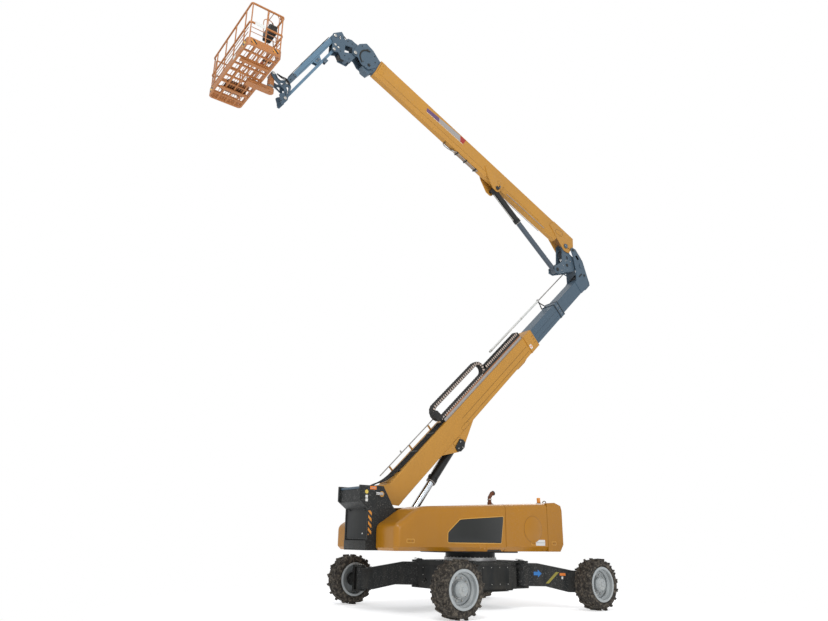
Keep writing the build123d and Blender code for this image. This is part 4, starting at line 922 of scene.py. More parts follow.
class RunningGear(SubAssembly):
    """Tyres, rims, knuckles and swing legs."""

    def __init__(self, bench: Bench, frame: dict[str, object]) -> None:
        """Takes the wheel's sizes."""
        super().__init__(bench, frame)
        self.size = WheelSizes()
        self.corners = {"front_left": (1, 1), "front_right": (1, -1), "rear_left": (-1, 1),
            "rear_right": (-1, -1)}

    def tyre(self) -> Piece:
        """Makes one tyre at the origin round the Y axis: bulged walls, bead ribs and slanted lugs."""
        s = self.size
        half, base = s.width / 2, s.radius - s.lug
        wall = [(s.seat + 0.0006, -half + 0.026), (s.flange + 0.004, -half + 0.024),
            (s.flange + 0.02, -half + 0.006), (s.flange + 0.026, -half + 0.01),
            (s.flange + 0.034, -half + 0.002), (s.flange + 0.04, -half + 0.001), (base - 0.1, -half + 0.0005),
            (base - 0.055, -half + 0.004), (base - 0.022, -half + 0.024), (base - 0.004, -half + 0.06),
            (base, -half + 0.1)]
        profile = wall + [(radius, -height) for radius, height in reversed(wall)]
        carcass = self.bench.turned("carcass", AXLE, profile, Finish.TYRE, 72, 50)
        length, thick = 0.17, 0.052
        outline = [(-length / 2, -thick / 2), (length * 0.2, -thick * 0.42), (length / 2, -thick * 0.95),
            (length / 2, thick * 0.05), (length * 0.2, thick * 0.46), (-length / 2, thick / 2)]
        block = self.bench.plate("lug", HOME, outline, s.lug + 0.027, Finish.TYRE, 0.006, 2)
        shoulder = [(-0.026, -0.022), (0.026, -0.018), (0.022, 0.03), (-0.024, 0.034)]
        cheek = self.bench.plate("cheek", HOME, shoulder, 0.01, Finish.TYRE, 0.003, 1)
        places, cheeks = [], []
        for row in (-1, 1):
            for index in range(s.lugs):
                turn = math.tau / s.lugs * (index + (0.5 if row > 0 else 0.0))
                rise = Vector((math.cos(turn), 0, math.sin(turn)))
                around = Vector((-math.sin(turn), 0, math.cos(turn)))
                tilt = math.radians(s.slant) * row
                first = (LEFT * (row * math.cos(tilt)) + around * (row * math.sin(tilt))).normalized()
                second = rise.cross(first)
                place = Matrix((first, second, rise)).transposed().to_4x4()
                place.translation = rise * (base - 0.024) + LEFT * (row * (half - 0.03 - length / 2))
                places.append(place)
                lie = Matrix((around * row, rise, LEFT * row)).transposed().to_4x4()
                lie.translation = rise * (base - 0.045) + around * (row * 0.052) + LEFT * (
                    row * (half - 0.006))
                cheeks.append(lie)
        lugs = self.bench.repeat(block, "lugs", places)
        sides = self.bench.repeat(cheek, "cheeks", cheeks)
        tyre = self.bench.join([carcass, lugs, sides], "tyre_pattern")
        self.bench.within(tyre, s.radius)
        return tyre

    def hub_detail(self) -> Piece:
        """Makes the wheel's bolts, valve and hub fittings at the origin, outboard towards +Y."""
        bench = self.bench
        nuts = bench.nuts("wheel_nuts", 0.03, 0.022, AXLE.ring(0.225, 10, 0.04))
        small = bench.nuts("cap_bolts", 0.016, 0.01, AXLE.ring(0.098, 8, 0.189))
        dish = bench.turned("disc_ring", AXLE, [(0.252, 0.04), (0.292, 0.04), (0.298, 0.046), (0.288, 0.056),
            (0.262, 0.056), (0.25, 0.047)], Finish.RIM, 48)
        collar = bench.turned("hub_collar", AXLE, [(0.166, 0.04), (0.186, 0.04), (0.186, 0.06), (0.18, 0.066),
            (0.166, 0.066)], Finish.STEEL, 36)
        cap = bench.turned("hub_cap", AXLE, [(0.0, 0.189), (0.045, 0.189), (0.045, 0.202), (0.036, 0.21),
            (0.0, 0.211)], Finish.RIM, 24)
        valve = bench.rod("valve", AXLE.at(0.306, 0.0, 0.06), AXLE.at(0.306, 0.0, 0.095), 0.006, Finish.ZINC)
        lip = bench.turned("rim_lip", AXLE, [(0.34, 0.2102), (0.39, 0.2102), (0.39, 0.2135), (0.384, 0.217),
            (0.352, 0.217), (0.34, 0.214)], Finish.RIM, 64)
        return bench.join([nuts, small, dish, collar, cap, valve, lip], "hub_pattern")

    def leg_dressing(self, corner: str, sx: int, sy: int) -> None:
        """Adds a leg's end plates, ribs, bolts, hoses and plain marks, and its kingpin's cap."""
        hinge = Vector((sx * 1.05, sy * 0.68, 0.0))
        run = Vector((sx * 1.1, sy * 0.92, 0.0)).normalized()
        square = Vector((-run.y, run.x, 0.0))
        bench = self.bench
        made = []
        half, taper = 0.1705, 0.0404
        for way in (1, -1):
            near, far = (hinge + run * a + square * way * (half - taper * a) for a in (0.2, 1.3))
            plane = Plane(hinge + square * way * half, (far - near).normalized() * way, UP)
            end = [(way * a, z) for a, z in ((1.12, 0.4), (1.41, 0.4), (1.41, 0.82), (1.17, 0.82),
                (1.12, 0.78))]
            made.append(bench.plate("end_plate", plane, end if way > 0 else end[::-1], 0.01, Finish.DARK,
                0.002))
            places = [plane.moved(way * a, z, 0.01).matrix() for a in (1.16, 1.37) for z in (0.44, 0.6, 0.76)]
            made.append(bench.nuts("leg_bolts", 0.022, 0.012, places))
            rib = [(way * a, z) for a, z in ((0.1, 0.935), (0.42, 0.975), (1.26, 0.846), (1.26, 0.832),
                (0.42, 0.955), (0.1, 0.915))]
            made.append(bench.plate("rib", plane, rib[::-1] if way > 0 else rib, 0.006, Finish.BLACK, 0.001))
            bends = ((0.22, 0.7, 0.03), (0.4, 0.62, 0.03), (0.85, 0.54, 0.022), (1.08, 0.6, 0.022))
            for rise in (0.0, 0.03):
                route = [plane.at(way * a, z, gap) + Vector((0, 0, rise)) for a, z, gap in bends]
                made.append(bench.hose("leg_hose", route, 0.01))
            made += [bench.block("clip", plane.moved(way * a, z, 0.0), (0.04, 0.09, 0.012), Finish.DARK,
                0.003) for a, z in ((0.42, 0.63), (0.84, 0.555))]
        outward = 1 if square.y * sy > 0 else -1
        gap = 0.0007
        across = (run - square * outward * taper).normalized() * outward
        plane = Plane(hinge + square * outward * (half + gap), across, UP)

        def mark(name: str, points: list[Point], finish: Finish) -> None:
            """Lays one flat mark on the outward side."""
            drawn = [(outward * a, z) for a, z in points]
            made.append(bench.plate(name, plane, drawn if outward > 0 else drawn[::-1], 0.0015, finish))

        arrow = [(0.3, 0.74), (0.4, 0.74), (0.4, 0.69), (0.49, 0.78), (0.4, 0.87), (0.4, 0.82), (0.3, 0.82)]
        mark("arrow", arrow, Finish.BLUE)
        mark("stripe", [(0.58, 0.56), (0.66, 0.56), (0.92, 0.82), (0.84, 0.82)], Finish.OLIVE)
        mark("orange_mark", [(0.93, 0.74), (1.07, 0.74), (1.07, 0.8), (0.93, 0.8)], Finish.ORANGE)
        mark("white_mark", [(0.97, 0.66), (1.01, 0.66), (1.01, 0.72), (0.97, 0.72)], Finish.WHITE)
        self.mount(made, f"leg_fittings_{corner}", f"leg_{corner}", "dark_paint")
        kingpin = level(sx * 2.15, sy * 1.6, 0.902)
        cap = bench.turned("cap", kingpin, bevelled(0.0, 0.072, 0.014, 0.06, 0.02), Finish.DARK, 24)
        nuts = bench.nuts("cap_nuts", 0.018, 0.01, kingpin.ring(0.052, 6, 0.018))
        self.mount([cap, nuts], f"kingpin_cap_{corner}", f"knuckle_{corner}", "dark_paint")

    def build(self) -> None:
        """Places the wheels and dresses the legs and knuckles."""
        s = self.size
        tyre, hub = self.tyre(), self.hub_detail()
        for corner, (sx, sy) in self.corners.items():
            turn = Matrix.Rotation(0.0 if sy > 0 else math.pi, 4, "Z")
            place = Matrix.Translation((sx * s.centre_x, sy * s.centre_y, s.radius)) @ turn
            for pattern, name, slot in ((tyre, "tyre_tread", "tyre_rubber"),
                    (hub, "hub_fittings", "rim_silver")):
                twin = self.bench.copy(pattern, f"{name}_{corner}", place)
                self.ride(twin, f"wheel_{corner}", slot)
                if pattern is tyre:
                    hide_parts(f"tyre_{corner}")
            self.coat(Finish.TYRE, f"tyre_{corner}")
            self.coat(Finish.RIM, f"rim_{corner}")
            self.coat(Finish.BLACK, f"leg_{corner}")
            self.coat(Finish.DARK, f"knuckle_{corner}")
            self.leg_dressing(corner, sx, sy)
        bpy.data.objects.remove(tyre, do_unlink=True)
        bpy.data.objects.remove(hub, do_unlink=True)


class Chassis(SubAssembly):
    """Chassis box and slew ring."""

    def build(self) -> None:
        """Dresses the chassis: ring bolts, pin caps, hatches, steps, hoses, nose plates and tow eyes."""
        bench = self.bench
        self.coat(Finish.DARK, "chassis_frame")
        self.coat(Finish.STEEL, "slew_bearing")
        bolts = bench.nuts("slew_ring_bolts", 0.024, 0.016, HOME.ring(0.615, 36, 1.1275))
        self.ride(bolts, "chassis", "bearing_steel")
        made = []
        for sx in (1, -1):
            for sy in (1, -1):
                top = level(sx * 1.05, sy * 0.68, 1.072)
                made.append(bench.turned("pin_cap", top, bevelled(0.0, 0.064, 0.012, 0.052, 0.018),
                    Finish.STEEL, 24))
                keeper = [(0.02, -0.03), (0.15, -0.03), (0.15, 0.03), (0.02, 0.03)]
                made.append(bench.plate("keeper", top.moved(0, 0, 0.016), keeper, 0.008, Finish.ZINC, 0.002))
                places = [top.moved(0.12, b, 0.024).matrix() for b in (-0.017, 0.017)]
                made.append(bench.nuts("keeper_bolts", 0.018, 0.01, places))
        for sy in (1, -1):
            side = flank(sy * 0.9, sy > 0)
            made.append(bench.plate("hatch", side, rounded(0.0, 0.74, 0.84, 0.44, 0.03), 0.008, Finish.BLACK,
                0.002))
            spots = [(a, z) for a in (-0.385, -0.13, 0.13, 0.385) for z in (0.555, 0.925)]
            made += [
                bench.nuts("hatch_bolts", 0.018, 0.01, [side.moved(a, z, 0.008).matrix() for a, z in spots]),
                bench.block("step", level(0.0, sy * 0.9, 0.4), (0.7, 0.16, 0.012), Finish.DARK, 0.003),
            ]
            for k, x in enumerate((-0.6, -0.52, 0.52, 0.6)):
                lift = 0.01 * k
                route = [
                    (x, sy * 0.86, 0.96),
                    (x, sy * 0.93, 0.97 + lift),
                    (x + (0.16 if x > 0 else -0.16), sy * 0.95, 0.94),
                    (x + (0.3 if x > 0 else -0.3), sy * 0.905, 0.86 - lift),
                ]
                made.append(bench.hose("box_hose", route, 0.011))
        for sx in (1, -1):
            face = facing(sx * 1.235, 0, 0, sx)
            made.append(bench.plate("nose_plate", face, rounded(0.0, 0.74, 0.62, 0.4, 0.03), 0.01,
                Finish.BLACK, 0.002))
            for y in (-0.2, 0.2):
                eye = [(r + 0.03, h) for r, h in ((0.0, 0.0), (0.03, 0.0), (0.03, 0.02), (0.0, 0.02))]
                made.append(bench.turned("tow_eye", face.moved(y, 0.6, 0.01), eye, Finish.DARK, 24))
            spots = [(a, z) for a in (-0.27, 0.27) for z in (0.58, 0.74, 0.9)]
            made.append(bench.nuts("nose_bolts", 0.018, 0.01, [face.moved(a, z, 0.01).matrix()
                for a, z in spots]))
        self.mount(made, "chassis_fittings", "chassis", "dark_paint")


class Turntable(SubAssembly):
    """Turntable frame, covers, counterweight and what stands on them."""

    def side_panels(self) -> None:
        """Lays the dark side panels with their bead in a painted highlight, the recesses and the bare plates on
        the hoods.
        """
        world = UPRIGHT
        panel = [(1.364, 1.958), (1.247, 1.972), (0.052, 2.06), (0.03, 2.04), (0.04, 1.95), (0.112, 1.49),
            (0.128, 1.47), (1.69, 1.47), (1.716, 1.49), (1.712, 1.66), (1.7, 1.686)]
        bead = [(1.372, 1.974), (1.247, 1.988), (0.04, 2.078), (0.012, 2.05), (0.022, 1.95), (0.096, 1.478),
            (0.12, 1.452), (1.7, 1.452), (1.734, 1.48), (1.73, 1.664), (1.716, 1.696)]
        for side, sign in (("left", 1), ("right", -1)):
            y = sign * 1.245
            front, rear = f"hood_front_{side}", f"hood_rear_{side}"
            # The bead is a lighter copy of the cover paint: a painted highlight along the panel's edge.
            rim = self.plates("bead", world, (y,), bead, 0.004, Finish.COVER_PALE, 0.0018)
            dark = self.plates("panel", world, (y + sign * 0.0035,), panel, 0.003, Finish.PANEL_BLACK, 0.0012)
            self.mount([rim, dark], f"side_panel_{side}", front, "dark_paint")
            handle = self.recess(f"handle_front_{side}", y, 2.735, 1.49, 0.21, 0.085)
            self.ride(handle, front, "ochre_cover")
            handle = self.recess(f"handle_rear_{side}", y, -0.965, 1.473, 0.15, 0.085)
            blank = self.plates("blank", world, (y,), rounded(-1.2, 1.49, 0.32, 0.135, 0.012), 0.0016,
                Finish.WHITE)
            lines = self.plates("lines", world, (y + sign * 0.0014,), rounded(-1.2, 1.49, 0.3, 0.01, 0.004),
                0.0008, Finish.GREY)
            ring = self.embossed("ring", world, (y,), stadium(-0.96, 1.8, 0.62, 0.62, 20),
                stadium(-0.96, 1.8, 0.608, 0.608, 20), Finish.COVER, Finish.COVER_SHADE)
            self.mount([handle, blank, lines, ring], f"rear_marks_{side}", rear, "ochre_cover")
            tail = self.recess(f"handle_tail_{side}", y, -1.68, 1.48, 0.16, 0.085)
            self.ride(tail, "turntable", "weight_iron")
            # A black plate at the back of the foot recess: painted shade inside the recess.
            foot = [(0.511, 1.2875), (0.431, 1.368), (0.116, 1.368), (0.064, 1.2875)]
            step = self.plates(f"foot_recess_{side}", world, (y - sign * 0.062,), foot, 0.004, Finish.BLACK)
            self.ride(step, front, "dark_paint")

    def recess(self, name: str, y: float, x: float, z: float, width: float, height: float) -> Piece:
        """Makes a small pressed handle recess with a rim in a painted highlight and two finger slots in painted
        shade.
        """
        outer = rounded(x, z, width, height, 0.02)
        inner = rounded(x, z, width - 0.022, height - 0.022, 0.014)
        # The rim is a lighter copy of the cover paint, a painted highlight; the finger slots are painted shade.
        rim = self.plates(name + "_rim", UPRIGHT, (y,), outer, 0.003, Finish.COVER_PALE, 0.001)
        sign = 1 if y > 0 else -1
        face = self.plates(name + "_face", UPRIGHT, (y + sign * 0.0028,), inner, 0.0012, Finish.COVER)
        slots = [self.plates(name + "_slot", UPRIGHT, (y + sign * 0.0038,),
            stadium(x + s * width * 0.2, z, 0.03, 0.018), 0.001, Finish.COVER_SHADE) for s in (-1, 1)]
        return self.bench.join([rim, face, *slots], name)

    def brackets(self) -> None:
        """Dresses the tower's pivot brackets: pins and keepers, warning bars and bare plates."""
        bench, world, sides = self.bench, UPRIGHT, 0.468
        made = [
            self.bosses("pivot_cap", world, sides, (2.99, 2.47), 0.105, 0.012, Finish.BLACK),
            self.plates("keeper", world, 0.482, rounded(3.055, 2.475, 0.19, 0.06, 0.012), 0.012,
                Finish.STEEL, 0.002),
            self.bolts("keeper_bolts", world, 0.494, [(3.1, 2.475), (3.135, 2.475)], 0.022, 0.012),
            self.plates("edge_rib", world, sides, [(3.34, 2.16), (3.56, 2.32), (3.56, 2.645), (3.535, 2.645),
                (3.535, 2.335), (3.345, 2.2)], 0.01, Finish.BLACK, 0.002),
            self.plates("round_mark", world, sides, stadium(3.385, 2.505, 0.085, 0.085, 12), 0.002,
                Finish.YELLOW),
            *(self.plates("white_mark", world, sides, rounded(x, z, 0.062, 0.062, 0.006), 0.002,
                Finish.WHITE) for x, z in ((3.382, 2.405), (3.38, 2.33))),
            self.plates("orange_mark", world, sides, rounded(3.215, 2.595, 0.17, 0.07, 0.006), 0.002,
                Finish.ORANGE),
            self.plates("grey_mark", world, sides, rounded(3.215, 2.592, 0.1, 0.02, 0.004), 0.003,
                Finish.GREY),
            self.plates("warning_bars", world, sides, [(3.235, 1.6), (3.322, 1.6), (3.322, 2.11),
                (3.235, 2.11)], 0.002, Finish.HAZARD_X),
        ]
        dots = [(3.3, 1.34), (3.3, 1.42), (2.7, 1.34), (2.7, 1.42), (2.1, 1.36), (1.5, 1.36)]
        made.append(self.bolts("frame_bolts", world, sides, dots, 0.026, 0.014, Finish.DARK))
        front = facing(3.345, 0, 0)
        frame = rounded(0.0, 1.83, 0.8, 0.6, 0.02)
        made += [
            bench.plate("front_panel", front.moved(0, 0, -0.02), frame, 0.008, Finish.BLACK, 0.002),
            bench.boss("latch", front.moved(0.27, 1.63, -0.012), 0.016, 0.01, Finish.WHITE),
        ]
        for y in (-0.33, 0.33):
            hinge = facing(3.333, y, 2.128)
            made.append(bench.block("hinge", hinge, (0.1, 0.03, 0.012), Finish.DARK, 0.003))
        made += [
            bench.rod("roller", (3.49, -0.425, 2.592), (3.49, 0.425, 2.592), 0.03, Finish.SLATE, 24, 0.004),
            bench.block("top_strip", facing(3.502, 0, 2.545), (0.84, 0.03, 0.01), Finish.GREY, 0.002),
        ]
        low = facing(3.345, 0, 1.4)
        made.append(bench.block("bumper", low, (0.9, 0.18, 0.02), Finish.DARK, 0.006))
        self.mount(made, "bracket_fittings", "turntable", "dark_paint")

    def tops(self) -> None:
        """Adds the exhaust's joints, the beacon's lens, lifting eyes, and the tail's grilles and lamps."""
        bench = self.bench
        stack = level(-0.12, 0.62, 2.375)
        flange = bench.turned("stack_flange", stack, bevelled(0.046, 0.053, 0.01, 0.05, 0.014), Finish.DARK,
            32)
        clamp = bench.turned("stack_clamp", stack, [(0.045, 0.1), (0.053, 0.1), (0.055, 0.112),
            (0.053, 0.124), (0.045, 0.124)], Finish.ZINC, 32)
        way = Vector((-1, 0, 0.35)).normalized()
        mouth = Plane(Vector((-0.186, 0.62, 2.623)) + way * 0.061, LEFT, way.cross(LEFT))
        lip = bench.turned("outlet", mouth, [(0.04, -0.018), (0.056, -0.018), (0.058, 0.01), (0.054, 0.018),
            (0.04, 0.018)], Finish.BLACK, 32)
        black = bench.turned("outlet_bore", mouth, [(0.0, 0.0015), (0.0405, 0.0015), (0.0405, 0.003),
            (0.0, 0.003)], Finish.HOSE, 32)
        self.mount([flange, clamp, lip, black], "exhaust_fittings", "hood_rear_left", "engine_metal")
        up = Vector((0.075, 0, 1)).normalized()
        roof = Plane(Vector((-1.67, 0.8, 2.4485)), LEFT, up.cross(LEFT))
        base = bench.turned("beacon_base", roof, bevelled(0.0, 0.062, 0.012, 0.056, 0.018), Finish.BLACK, 32)
        ribs = [bench.turned("lens_rib", roof.moved(0, 0, 0.03 + 0.016 * k),
            [(0.044, 0.0), (0.0468, 0.0), (0.0474, 0.004), (0.0468, 0.008), (0.044, 0.008)], Finish.AMBER, 32)
            for k in range(6)]
        top = bench.turned("lens_top", roof.moved(0, 0, 0.131), [(0.0, 0.0), (0.0455, 0.0), (0.042, 0.006),
            (0.03, 0.01), (0.0, 0.011)], Finish.AMBER, 32)
        self.mount([base, *ribs, top], "beacon_lens", "turntable", "beacon_amber")
        eyes = []
        for y in (-0.98, 0.98):
            arc = [(-1.62, y, 2.43), (-1.62, y, 2.5), (-1.74, y, 2.5), (-1.74, y, 2.44)]
            eyes.append(bench.hose("lift_eye", arc, 0.011, Finish.COVER_SHADE))
        rear = facing(-2.0205, 0, 0, -1)
        for y in (-0.78, 0.78):
            eyes.append(bench.plate("tail_grille", rear, rounded(y, 1.95, 0.55, 0.34, 0.03), 0.006,
                Finish.BLACK, 0.002))
            eyes += [bench.plate("louvre", rear.moved(0, 0, 0.006), rounded(y, 1.83 + 0.035 * k, 0.5, 0.012,
                0.005), 0.006, Finish.DARK) for k in range(8)]
            eyes.append(bench.plate("tail_lamp", rear, rounded(y, 1.56, 0.16, 0.06, 0.015), 0.01,
                Finish.RED_PEDAL, 0.003))
        self.mount(eyes, "tail_fittings", "turntable", "weight_iron")

    def build(self) -> None:
        """Dresses the turntable's nodes and adds its fittings."""
        self.coat(Finish.BLACK, "turntable_frame", "front_cover")
        self.coat(Finish.COVER, "hood_front_left", "hood_front_right", "hood_rear_left", "hood_rear_right")
        self.coat(Finish.COVER, "counterweight")
        self.coat(Finish.ENGINE, "engine_block")
        self.coat(Finish.RUST, "exhaust")
        self.coat(Finish.AMBER, "beacon")
        self.side_panels()
        self.brackets()
        self.tops()


class Tower(SubAssembly):
    """Tower boom, its chain, tubes and cylinder, and the upright on its tip."""

    def base(self) -> None:
        """Dresses the base section: trunnion caps, pressed slots, collar, seams and rest foot."""
        bench, sides = self.bench, (0.25, -0.25)
        made = [
            self.embossed("slot_low", TOWER, 0.252, stadium(2.7, -0.64, 0.3, 0.11),
                stadium(2.7, -0.64, 0.284, 0.094)),
            self.embossed("slot_high", TOWER, sides, stadium(3.2, -0.53, 0.32, 0.11),
                stadium(3.2, -0.53, 0.304, 0.094)),
            self.plates("trunnion_cap", TOWER, 0.256, [(2.54, -0.7), (2.8, -0.64), (2.87, -0.72),
                (2.88, -0.81), (2.77, -0.89), (2.61, -0.89), (2.52, -0.82)], 0.026, Finish.BLACK, 0.004),
            self.bolts("cap_bolts", TOWER, 0.282, [(2.76, -0.7), (2.6, -0.78), (2.72, -0.85)], 0.026, 0.014),
            *(self.embossed("collar_slots", TOWER, 0.2645, stadium(7.06, p, 0.09, 0.026),
                stadium(7.06, p, 0.078, 0.014)) for p in (-0.23, -0.33, -0.43)),
            self.plates("blank", TOWER, 0.2645, rounded(6.8, -0.43, 0.1, 0.13, 0.01), 0.002, Finish.WHITE),
            self.plates("blank_mark", TOWER, 0.2658, rounded(6.8, -0.43, 0.05, 0.06, 0.01), 0.002,
                Finish.ORANGE),
            self.bolts("foot_bolts", TOWER, 0.07, [(6.12, -0.645), (6.3, -0.655), (6.5, -0.64)], 0.024,
                0.012),
        ]
        made += [self.plates("seam", TOWER, sides, rounded(4.95, p, 3.4, 0.01, 0.004), 0.002,
            Finish.OCHRE_SHADE) for p in (-0.33, -0.48)]
        made += [self.plates("band", TOWER, 0.264, rounded(a, -0.3325, 0.022, 0.54, 0.004), 0.006,
            Finish.OCHRE, 0.002) for a in (6.728, 7.122)]
        roof = TOWER.roof(0.0, -0.07)
        made.append(bench.plate("root_strap", roof, [(0.5, -0.24), (0.58, -0.24), (0.58, 0.24), (0.5, 0.24)],
            0.01, Finish.OCHRE, 0.003))
        made += [bench.block("tube_stand", TOWER.roof(a, -0.07, -0.2), (0.03, 0.05, 0.125), Finish.OCHRE,
            0.004) for a in (0.95, 1.75, 2.55)]
        made += [
            bench.rod("light_tube", TOWER.point(0.6, 0.068, -0.2), TOWER.point(2.9, 0.068, -0.2), 0.014,
                Finish.GREY),
            bench.rod("tube_fitting", TOWER.point(1.45, 0.06, -0.2), TOWER.point(1.45, 0.135, -0.2), 0.02,
                Finish.ZINC),
        ]
        for k in range(5):
            y = -0.06 + 0.045 * k
            route = TOWER.route((-0.02, 0.15, y), (0.16, 0.15 + 0.008 * k, y), (0.42, 0.02, y * 1.2),
                (0.8, -0.04, y * 1.3), (1.6, -0.056, y * 1.3), (2.76, -0.056, y * 1.3))
            made.append(bench.hose("roof_hose", route, 0.013))
        made += [bench.block("hose_clamp", TOWER.roof(a, -0.07, 0.035), (0.05, 0.3, 0.032), Finish.DARK,
            0.004) for a in (0.9, 1.6, 2.3)]
        self.mount(made, "tower_fittings", "tower", "ochre_paint")

    def chain(self) -> None:
        """Draws the energy chain's links round its loop and along its tray."""
        bench = self.bench
        centre, straight, radius = (3.74, 0.23), 0.92, 0.185
        perimeter = 4 * straight + math.tau * radius
        count = 62
        pitch = perimeter / count
        patterns = {Finish.CHAIN: bench.plate("link_dark", HOME, rounded(0, 0, pitch * 0.86, 0.088, 0.012, 3),
            0.005, Finish.CHAIN, 0.0015, 1), Finish.CHAIN_PALE: bench.plate("link_pale", HOME,
            rounded(0, 0, pitch * 0.58, 0.074, 0.01, 3), 0.008, Finish.CHAIN_PALE, 0.0015, 1)}
        bar = bench.plate("bar", HOME, rounded(0.0, 0.0, 0.034, 0.012, 0.003, 2), 0.146, Finish.CHAIN, 0.0)
        places: dict[Finish, list[Matrix]] = {Finish.CHAIN: [], Finish.CHAIN_PALE: []}
        bars = []

        def station(s: float) -> tuple[float, float, float]:
            """Place and heading on the loop at a distance round it."""
            run = s % perimeter
            if run < 2 * straight:
                return (centre[0] - straight + run, centre[1] - radius, 0.0)
            run -= 2 * straight
            if run < math.pi * radius:
                turn = -math.pi / 2 + run / radius
                return (centre[0] + straight + radius * math.cos(turn), centre[1] + radius * math.sin(turn),
                    turn + math.pi / 2)
            run -= math.pi * radius
            if run < 2 * straight:
                return (centre[0] + straight - run, centre[1] + radius, math.pi)
            run -= 2 * straight
            turn = math.pi / 2 + run / radius
            return (centre[0] - straight + radius * math.cos(turn), centre[1] + radius * math.sin(turn),
                turn + math.pi / 2)

        stations = [station(perimeter * k / count) for k in range(count)]
        stations += [(4.98 + 0.078 * k, 0.142, 0.0) for k in range(22)]
        for a, p, turn in stations:
            across = TOWER.along * math.cos(turn) + TOWER.up * math.sin(turn)
            up = TOWER.up * math.cos(turn) - TOWER.along * math.sin(turn)
            for way, y in ((1, 0.2006), (-1, 0.0494)):
                for kind in places:
                    places[kind].append(Plane(TOWER.point(a, p, y), across * way, up).matrix())
            for offset in (0.046, -0.046):
                bars.append(Plane(TOWER.point(a, p, 0.052) + up * offset, across, up).matrix())
        made = [bench.repeat(patterns[kind], f"links_{kind.name.lower()}", places[kind]) for kind in patterns]
        made += [
            bench.repeat(bar, "link_bars", bars),
            self.plates("loop_end", TOWER, (0.2066,), [(2.585, 0.09), (2.72, 0.03), (2.8, 0.1), (2.76, 0.3),
                (2.68, 0.36), (2.585, 0.34)], 0.01, Finish.CHAIN, 0.002),
        ]
        for k in range(3):
            y = 0.085 + 0.04 * k
            made.append(bench.rod("row_hose", TOWER.point(2.9, 0.046 + 0.001 * k, y),
                TOWER.point(6.7, 0.108, y), 0.006, Finish.COPPER))
        made += [
            self.plates("tray_side", TOWER, (0.2102,), [(2.78, -0.07), (6.71, -0.07), (6.71, 0.01),
                (2.78, 0.01)], 0.003, Finish.GREY, 0.001),
            self.plates("tray_copper", TOWER, (0.2102,), [(2.9, 0.014), (6.7, 0.014), (6.7, 0.04),
                (2.9, 0.04)], 0.004, Finish.COPPER, 0.001),
        ]
        guide = self.plates("guide", TOWER, (0.03,), [(4.9, 0.1), (6.72, 0.1), (6.72, 0.18), (4.95, 0.18)],
            0.004, Finish.WHITE, 0.001)
        # The guide's holes are black plates: painted shade seen through the holes.
        hole = bench.plate("guide_hole", HOME, stadium(0, 0, 0.05, 0.022, 5), 0.0012, Finish.HOSE)
        spots = [TOWER.side(0.0338).moved((5.02 + 0.09 * k) * TOWER.sign(1.0), 0.145, 0.0).matrix()
            for k in range(19)]
        made += [guide, bench.repeat(hole, "guide_holes", spots)]
        made.append(bench.block("guide_end", TOWER.roof(6.68, 0.1, 0.12), (0.08, 0.16, 0.055), Finish.BLACK,
            0.01))
        self.mount(made, "chain_links", "tower", "chain_plastic")

    def tubes(self) -> None:
        """Adds the push tubes that carry the hoses beside the telescoping sections, and their stand."""
        bench, y, p = self.bench, -0.203, 0.205
        start = TOWER.point(5.75, p, y)
        plane = Plane(start, TOWER.up, TOWER.along.cross(TOWER.up))
        outer = bench.turned("outer_tube", plane, [(0.024, 0.0), (0.032, 0.0), (0.032, 2.9), (0.024, 2.9)],
            Finish.WHITE, 24)
        made = [outer]
        made += [bench.turned("tube_band", plane.moved(0, 0, a - 5.75),
            [(0.031, 0.0), (0.038, 0.0), (0.038, 0.035), (0.031, 0.035)], Finish.ZINC, 24)
            for a in (5.8, 7.55, 8.6)]
        made += [bench.rod("stand_arm", TOWER.point(8.69 + shift, -0.085, y), TOWER.point(8.64, p - 0.075, y),
            0.017, Finish.BLACK) for shift in (-0.1, 0.1)]
        made.append(bench.rod("stand_stem", TOWER.point(8.64, p - 0.095, y), TOWER.point(8.64, p - 0.03, y),
            0.022, Finish.BLACK))
        made += [bench.rod("stand_horn", TOWER.point(8.64, p - 0.045, y),
            TOWER.point(8.64, p + 0.055, y + way * 0.028), 0.009, Finish.BLACK) for way in (-1, 1)]
        for a in (8.67, 8.86):
            made.append(self.plates("band_rib", TOWER, 0.236, rounded(a, -0.3325, 0.03, 0.485, 0.006), 0.006,
                Finish.BLACK, 0.002))
            made.append(bench.block("band_roof", TOWER.roof(a, -0.084), (0.03, 0.47, 0.006), Finish.BLACK,
                0.002))
        made.append(self.bolts("band_bolts", TOWER, 0.236, [(8.765, -0.2), (8.765, -0.33), (8.765, -0.46)],
            0.022, 0.01))
        made += [self.plates("mid_seam", TOWER, 0.224, rounded(7.9, q, 1.35, 0.006, 0.002), 0.0012,
            Finish.SLATE_SHADE) for q in (-0.3, -0.45)]
        self.mount(made, "tower_mid_fittings", "tower_mid", "slate_paint")
        inner = bench.rod("inner_tube", TOWER.point(5.8, p, y), TOWER.point(10.42, p, y), 0.019, Finish.GREY,
            20, 0.003)
        made = [inner, bench.rod("tube_arm", TOWER.point(10.4, p + 0.005, y), TOWER.point(10.52, 0.06, y),
            0.02, Finish.SLATE)]
        boot = 0.208
